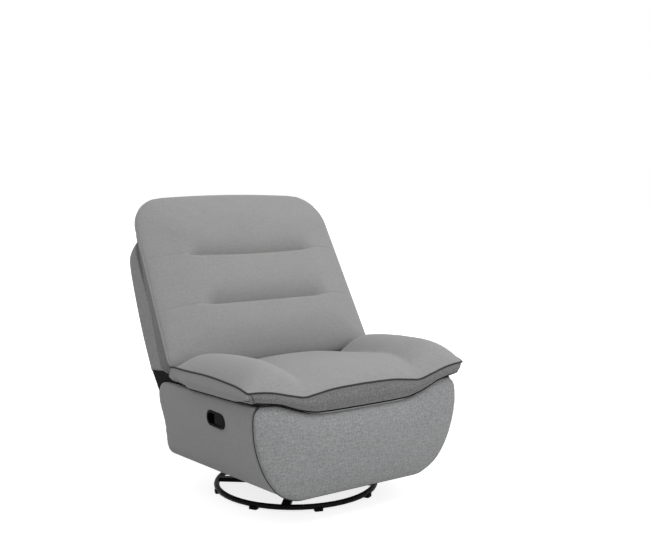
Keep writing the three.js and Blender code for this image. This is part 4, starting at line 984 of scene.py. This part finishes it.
# %% Front panel
tub_half = panel_high.x
tub_foot = 0.098
front_panel_rear = axis_y - 0.3873
front_panel_seam = axis_y - 0.3910
panel_roll = 0.025
panel_crown = 0.009
panel_bulge = (0.07, 0.006)
panel_tall = 0.322
panel_dip = 0.048
panel_side_shares = [(0.577, 0), (0.648, 0.016), (0.765, 0.087), (0.861, 0.224), (0.932, 0.391), (0.983, 0.596),
                     (1, 0.783), (0.993, 0.93), (0.949, 1)]
panel_top_shares = [(0, 0), (0.33, 0), (0.51, 0.04), (0.61, 0.27), (0.69, 0.5), (0.8, 0.81), (0.9, 1), (1, 1)]
panel_top_at = reading(panel_top_shares)


def spline_points(points, per_span=14):
    """A smooth line through points, as closely spaced places."""
    table_a = reading([(i, p[0]) for i, p in enumerate(points)])
    table_b = reading([(i, p[1]) for i, p in enumerate(points)])
    last = len(points) - 1
    return [(table_a(t), table_b(t)) for t in steps(0, last, per_span * last)]


def evenly(points):
    """Reads a line of places by its share of the length."""
    ends = np.array(points)
    run = np.concatenate([[0], np.cumsum(np.linalg.norm(np.diff(ends, axis=0), axis=1))])
    return lambda share: tuple(np.interp(share * run[-1], run, ends[:, k]) for k in (0, 1))


panel_side = evenly(spline_points([(out * tub_half, tub_foot + up * panel_tall) for out, up in panel_side_shares]))


def panel_place(u, v):
    edge_x, edge_z = panel_side(v)
    along = abs(u)
    middle = tub_foot + v * (panel_tall - panel_dip * (1 - panel_top_at(along)))
    return u * edge_x, middle + (edge_z - tub_foot - v * panel_tall) * along ** 3


def panel_face(u, v):
    """The face, which stands out a little past its seam at the sides and below."""
    x, z = panel_place(u, v)
    near_side, near_foot = (min(max((share - 0.85) / 0.15, 0), 1) for share in (abs(u), 1 - v))
    x *= 1 + panel_bulge[0] * math.sin(math.pi * near_side) * smooth(v, 0.02, 0.3)
    z -= panel_bulge[1] * math.sin(math.pi * near_foot) * (1 - u * u)
    roll = (1 - min(abs(u), 1) ** 6) ** 0.5 * (1 - min(abs(2 * v - 1), 1) ** 6) ** 0.5
    crown = panel_crown * (1 - u * u) * (1 - (2 * v - 1) ** 2)
    return Vector((x, front_panel_seam - panel_roll * roll - crown, z))


def panel_back(u, v):
    x, z = panel_place(u, v)
    return Vector((x, front_panel_rear, z))


def panel_band(u, v):
    x, z = panel_place(u, v)
    return Vector((x, (front_panel_rear + front_panel_seam) / 2, z))


front = stuffed("footrest_cover", 110, 70, panel_face, panel_band, panel_back)
panel_seam = [panel_face(u, 0) for u in steps(-1, 1, 120)] + [panel_face(1, v) for v in steps(0, 1, 80)][1:]
panel_seam += [panel_face(u, 1) for u in steps(1, -1, 160)][1:] + [panel_face(-1, v) for v in steps(1, 0, 80)][1:-1]
blown(front, [panel_seam], 0.012, 0.006, 0.005)
dress(front, [coarse_fabric, lining_cloth], lambda centre, normal: 1 if normal.y > 0.8 else 0)
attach(front, "footrest")
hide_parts("footrest_panel")
panel_piping = piping("footrest_piping", panel_seam, 0.0028, piping_cloth, closed=True)
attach(panel_piping, "footrest")

# %% [markdown]
# Each side panel is a board bent to the tub's curve under a thin pad. A flat strip is
# extruded step by step along that curve, trimmed by cutting planes to the sloping top and
# the round rear corners, given its thickness, and softened at its edges. Towards the rear it
# grows boxier, because the foot spreads. On the handle side
# an oblong well is cut for the handle's cup.

# %% Side panels
tub_depth = 0.342
tub_thick = 0.028
tub_curve_shares = [(0.577, 0), (0.648, 0.015), (0.765, 0.082), (0.861, 0.21), (0.932, 0.368), (0.983, 0.561),
                    (1, 0.766), (0.993, 1)]
tub_front = panel_low.y
tub_rear_top = panel_high.y
tub_rear_foot = tub_rear_top - 0.022
rear_round = 0.060
foot_round = 0.018
rear_spread = [(0.09, 0.062), (0.12, 0.062), (0.14, 0.053), (0.165, 0.036), (0.19, 0.021), (0.25, 0), (0.4, 0)]
edge_soft = 0.009
spread_at = reading(rear_spread)
tub_line = evenly(spline_points([(out * tub_half, tub_foot + up * tub_depth) for out, up in tub_curve_shares]))


def trim(corner, normal):
    bpy.ops.mesh.select_all(action="SELECT")
    bpy.ops.mesh.bisect(plane_co=corner, plane_no=normal, clear_outer=True)


def round_corner(corner, before, after, radius, count=8):
    """Trims a corner that lies in (y, z) to an arc, between the edges' outward directions."""
    start, end = Vector(before), Vector(after)
    centre = Vector(corner) - (start + end) * radius / (1 + start.dot(end))
    for i in range(1, count):
        way = start.lerp(end, i / count).normalized()
        place = centre + way * radius
        trim((0, place[0], place[1]), (0, way[0], way[1]))


def side_cover(side, name):
    deselect()
    bpy.ops.mesh.primitive_plane_add(size=1)
    piece = bpy.context.object
    piece.name = name
    piece.data.name = name
    line = [tub_line(share) for share in steps(0, 1, 40)]
    bpy.ops.object.mode_set(mode="EDIT")
    bpy.ops.mesh.delete(type="ONLY_FACE")
    bpy.ops.object.mode_set(mode="OBJECT")
    for i, vertex in enumerate(piece.data.vertices):
        x, z = line[0] if vertex.co.x < 0 else line[1]
        vertex.co = (side * x, tub_front if vertex.co.y < 0 else tub_rear_top, z)
    bpy.ops.object.mode_set(mode="EDIT")
    bpy.ops.mesh.select_all(action="SELECT")
    bpy.ops.mesh.edge_face_add()
    bpy.ops.mesh.select_mode(type="VERT")
    for here, beyond in zip(line[1:], line[2:]):
        bpy.ops.mesh.select_all(action="DESELECT")
        bpy.ops.object.mode_set(mode="OBJECT")
        for vertex in piece.data.vertices:
            vertex.select = abs(vertex.co.z - here[1]) < 1e-5 and abs(abs(vertex.co.x) - here[0]) < 1e-5
        bpy.ops.object.mode_set(mode="EDIT")
        step = (side * (beyond[0] - here[0]), 0, beyond[1] - here[1])
        bpy.ops.mesh.extrude_edges_move(TRANSFORM_OT_translate={"value": step})
    top = Vector((tub_rear_top - tub_front, side_edge_z[1] - side_edge_z[0]))
    top_way = Vector((-top.y, top.x)).normalized()
    rear = Vector((tub_rear_foot - tub_rear_top, tub_foot - side_edge_z[1]))
    rear_way = Vector((-rear.y, rear.x)).normalized()
    trim((0, tub_rear_top, side_edge_z[1]), (0, top_way.x, top_way.y))
    trim((0, tub_rear_top, side_edge_z[1]), (0, rear_way.x, rear_way.y))
    round_corner((tub_rear_top, side_edge_z[1]), top_way, rear_way, rear_round)
    round_corner((tub_rear_foot, tub_foot), rear_way, (0, -1), foot_round)
    bpy.ops.object.mode_set(mode="OBJECT")
    outward(piece)
    flip = piece.data.polygons[0].normal.x * side < 0
    apply_modifier(piece, "SOLIDIFY", thickness=tub_thick, offset=1 if flip else -1, use_even_offset=True)
    outward(piece)
    apply_modifier(piece, "BEVEL", width=edge_soft, segments=4, limit_method="ANGLE", angle_limit=math.radians(50))
    apply_modifier(piece, "REMESH", mode="VOXEL", voxel_size=0.005)
    for vertex in piece.data.vertices:
        t = min(max((vertex.co.y - tub_front) / (tub_rear_top - tub_front), 0), 1)
        vertex.co.x += side * spread_at(vertex.co.z) * t
    apply_modifier(piece, "SMOOTH", factor=0.5, iterations=5)
    return piece


cup_low, cup_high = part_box("latch_cup")


def handle_well():
    """The cutter for the cup: a round bar whose two halves are pulled apart."""
    tall = cup_high.z - cup_low.z + 0.001
    long = cup_high.y - cup_low.y + 0.001
    middle = (cup_low + cup_high) / 2
    deselect()
    bpy.ops.mesh.primitive_cylinder_add(vertices=64, radius=tall / 2, depth=0.2,
                                        location=(cup_low.x, middle.y, middle.z), rotation=(0, math.pi / 2, 0))
    cutter = bpy.context.object
    bpy.ops.object.transform_apply(location=True, rotation=True, scale=True)
    for vertex in cutter.data.vertices:
        vertex.co.y += math.copysign((long - tall) / 2, vertex.co.y - middle.y)
    return cutter


covers = {side: side_cover(side, f"side_cover_{word}") for side, word in ((-1, "left"), (1, "right"))}
cutter = handle_well()
apply_modifier(covers[-1], "BOOLEAN", object=cutter, operation="DIFFERENCE", solver="EXACT")
bpy.data.objects.remove(cutter)
for side, word in ((-1, "left"), (1, "right")):
    dress(covers[side], [plain_fabric])
    make_active(covers[side])
    bpy.ops.object.shade_smooth_by_angle(angle=math.radians(50))
    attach(covers[side], "carriage")
    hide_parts(f"side_panel_{word}")
    print(covers[side].name, len(covers[side].data.polygons), "faces")

# %% [markdown]
# The skirt is a single cloth that hangs from the shell's foot behind the body, hemmed at its
# lower edge, with a few slow folds.

# %% Skirt
skirt_low, skirt_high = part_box("rear_skirt")
skirt_wide = skirt_high.x - skirt_low.x
skirt_tall = skirt_high.z - skirt_low.z
skirt_y = (skirt_low.y + skirt_high.y) / 2
skirt_waves = 5
deselect()
bpy.ops.mesh.primitive_grid_add(x_subdivisions=120, y_subdivisions=60, size=1)
skirt = bpy.context.object
skirt.name = "skirt_cloth"
skirt.data.name = "skirt_cloth"
for vertex in skirt.data.vertices:
    across, drop = vertex.co.x, 0.5 - vertex.co.y
    sway = 0.003 * math.sin(skirt_waves * 2 * math.pi * across + 0.6) * smooth(drop, 0.1, 1)
    vertex.co = (across * skirt_wide, skirt_y + sway, skirt_high.z - 0.002 - drop * (skirt_tall - 0.002))
outward(skirt)
apply_modifier(skirt, "SOLIDIFY", thickness=0.0018, offset=0)
dress(skirt, [shell_fabric])
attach(skirt, "back")
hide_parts("rear_skirt")

# %% [markdown]
# When the back reclines, it moves away from the body, so a gusset of black cloth joins them
# at each side. It comes out between the seat and the side panel, passes under the shell's
# foot and turns in behind the skirt. On the chair its foot stays with the body and its head goes
# with the back; here it is laid in its rest place and follows neither. It is a grid laid between
# two lines, with a few slack folds.

# %% Gussets
gusset_foot = [(0.384, 0.100, 0.350), (0.386, 0.195, 0.336), (0.388, 0.226, 0.312), (0.376, 0.239, 0.286),
               (0.356, 0.246, 0.264), (0.334, 0.2495, 0.252)]
gusset_head = [(0.392, 0.100, 0.442), (0.397, 0.190, 0.437), (0.402, 0.272, 0.4220), (0.399, 0.285, 0.418),
               (0.366, 0.277, 0.407), (0.334, 0.2505, 0.396)]
gusset_fold = 0.002


def line_through(points):
    """Reads a smooth line through a few places, by its share of the way."""
    tables = [reading([(i / (len(points) - 1), p[k]) for i, p in enumerate(points)]) for k in range(3)]
    return lambda share: Vector([read(share) for read in tables])


def cloth_grid(name, columns, rows, place, thick):
    """A sheet whose every point is placed by its two shares, with its thickness."""
    deselect()
    bpy.ops.mesh.primitive_grid_add(x_subdivisions=columns, y_subdivisions=rows, size=1)
    sheet = bpy.context.object
    sheet.name = name
    sheet.data.name = name
    for vertex in sheet.data.vertices:
        vertex.co = place(vertex.co.x + 0.5, vertex.co.y + 0.5)
    outward(sheet)
    area = sum(face.area for face in sheet.data.polygons)
    apply_modifier(sheet, "SOLIDIFY", thickness=thick, offset=0)
    return sheet, area


foot_at_share, head_at_share = line_through(gusset_foot), line_through(gusset_head)
for side, word in ((-1, "left"), (1, "right")):
    def gusset_place(t, h):
        place = foot_at_share(t).lerp(head_at_share(t), h)
        slack = gusset_fold * math.sin(5 * math.pi * h + 2 * t) * math.sin(math.pi * h)
        return Vector((side * (place.x - abs(slack) * 0.4), place.y + slack * smooth(t, 0.5, 0.8), place.z))

    gusset, area = cloth_grid(f"gusset_{word}", 48, 20, gusset_place, 0.0012)
    dress(gusset, [lining_cloth])
    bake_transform(gusset)
    print(gusset.name, "area", round(area, 4))

# %% [markdown]
# A plain cloth bridges the gap that opens between the seat and the footrest. At rest it is
# folded away behind the panel: it leaves the front rail, turns back up in front of the drive
# tube and ends on the board. Cloth can follow one joint at a time, so it is three sheets, sewn
# where the drive links and the lift links carry it.

# %% Footrest bridge
bridge_half = 0.186
bridge_ends = {"rail": (axis_y - 0.3645, 0.3565), "drive": (axis_y - 0.2632, 0.208), "lift": (axis_y - 0.3292, 0.270),
               "board": (axis_y - 0.3764, 0.300)}
bridge_parts = (("upper", "rail", "drive", "carriage", "drive_links", 0.010),
                ("middle", "drive", "lift", "drive_links", "lift_links", 0.004),
                ("lower", "lift", "board", "lift_links", "footrest", 0.002))
for word, start, end, carrier, follower, slack in bridge_parts:
    first, last = (Vector((0, *bridge_ends[name])) for name in (start, end))
    aside = Vector((0, last.z - first.z, first.y - last.y)).normalized()

    def bridge_place(across, along):
        place = first.lerp(last, along) + aside * slack * math.sin(math.pi * along)
        return place + Vector(((across - 0.5) * 2 * bridge_half, 0, 0))

    sheet, area = cloth_grid(f"bridge_cloth_{word}", 40, 24, bridge_place, 0.0012)
    dress(sheet, [plain_fabric])
    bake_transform(sheet)
    print(sheet.name, "area", round(area, 4))

# %% Finish
for node in frame["nodes"].values():
    if not node.hide_render:
        make_active(node)
        bpy.ops.object.shade_smooth_by_angle(angle=smooth_limit)
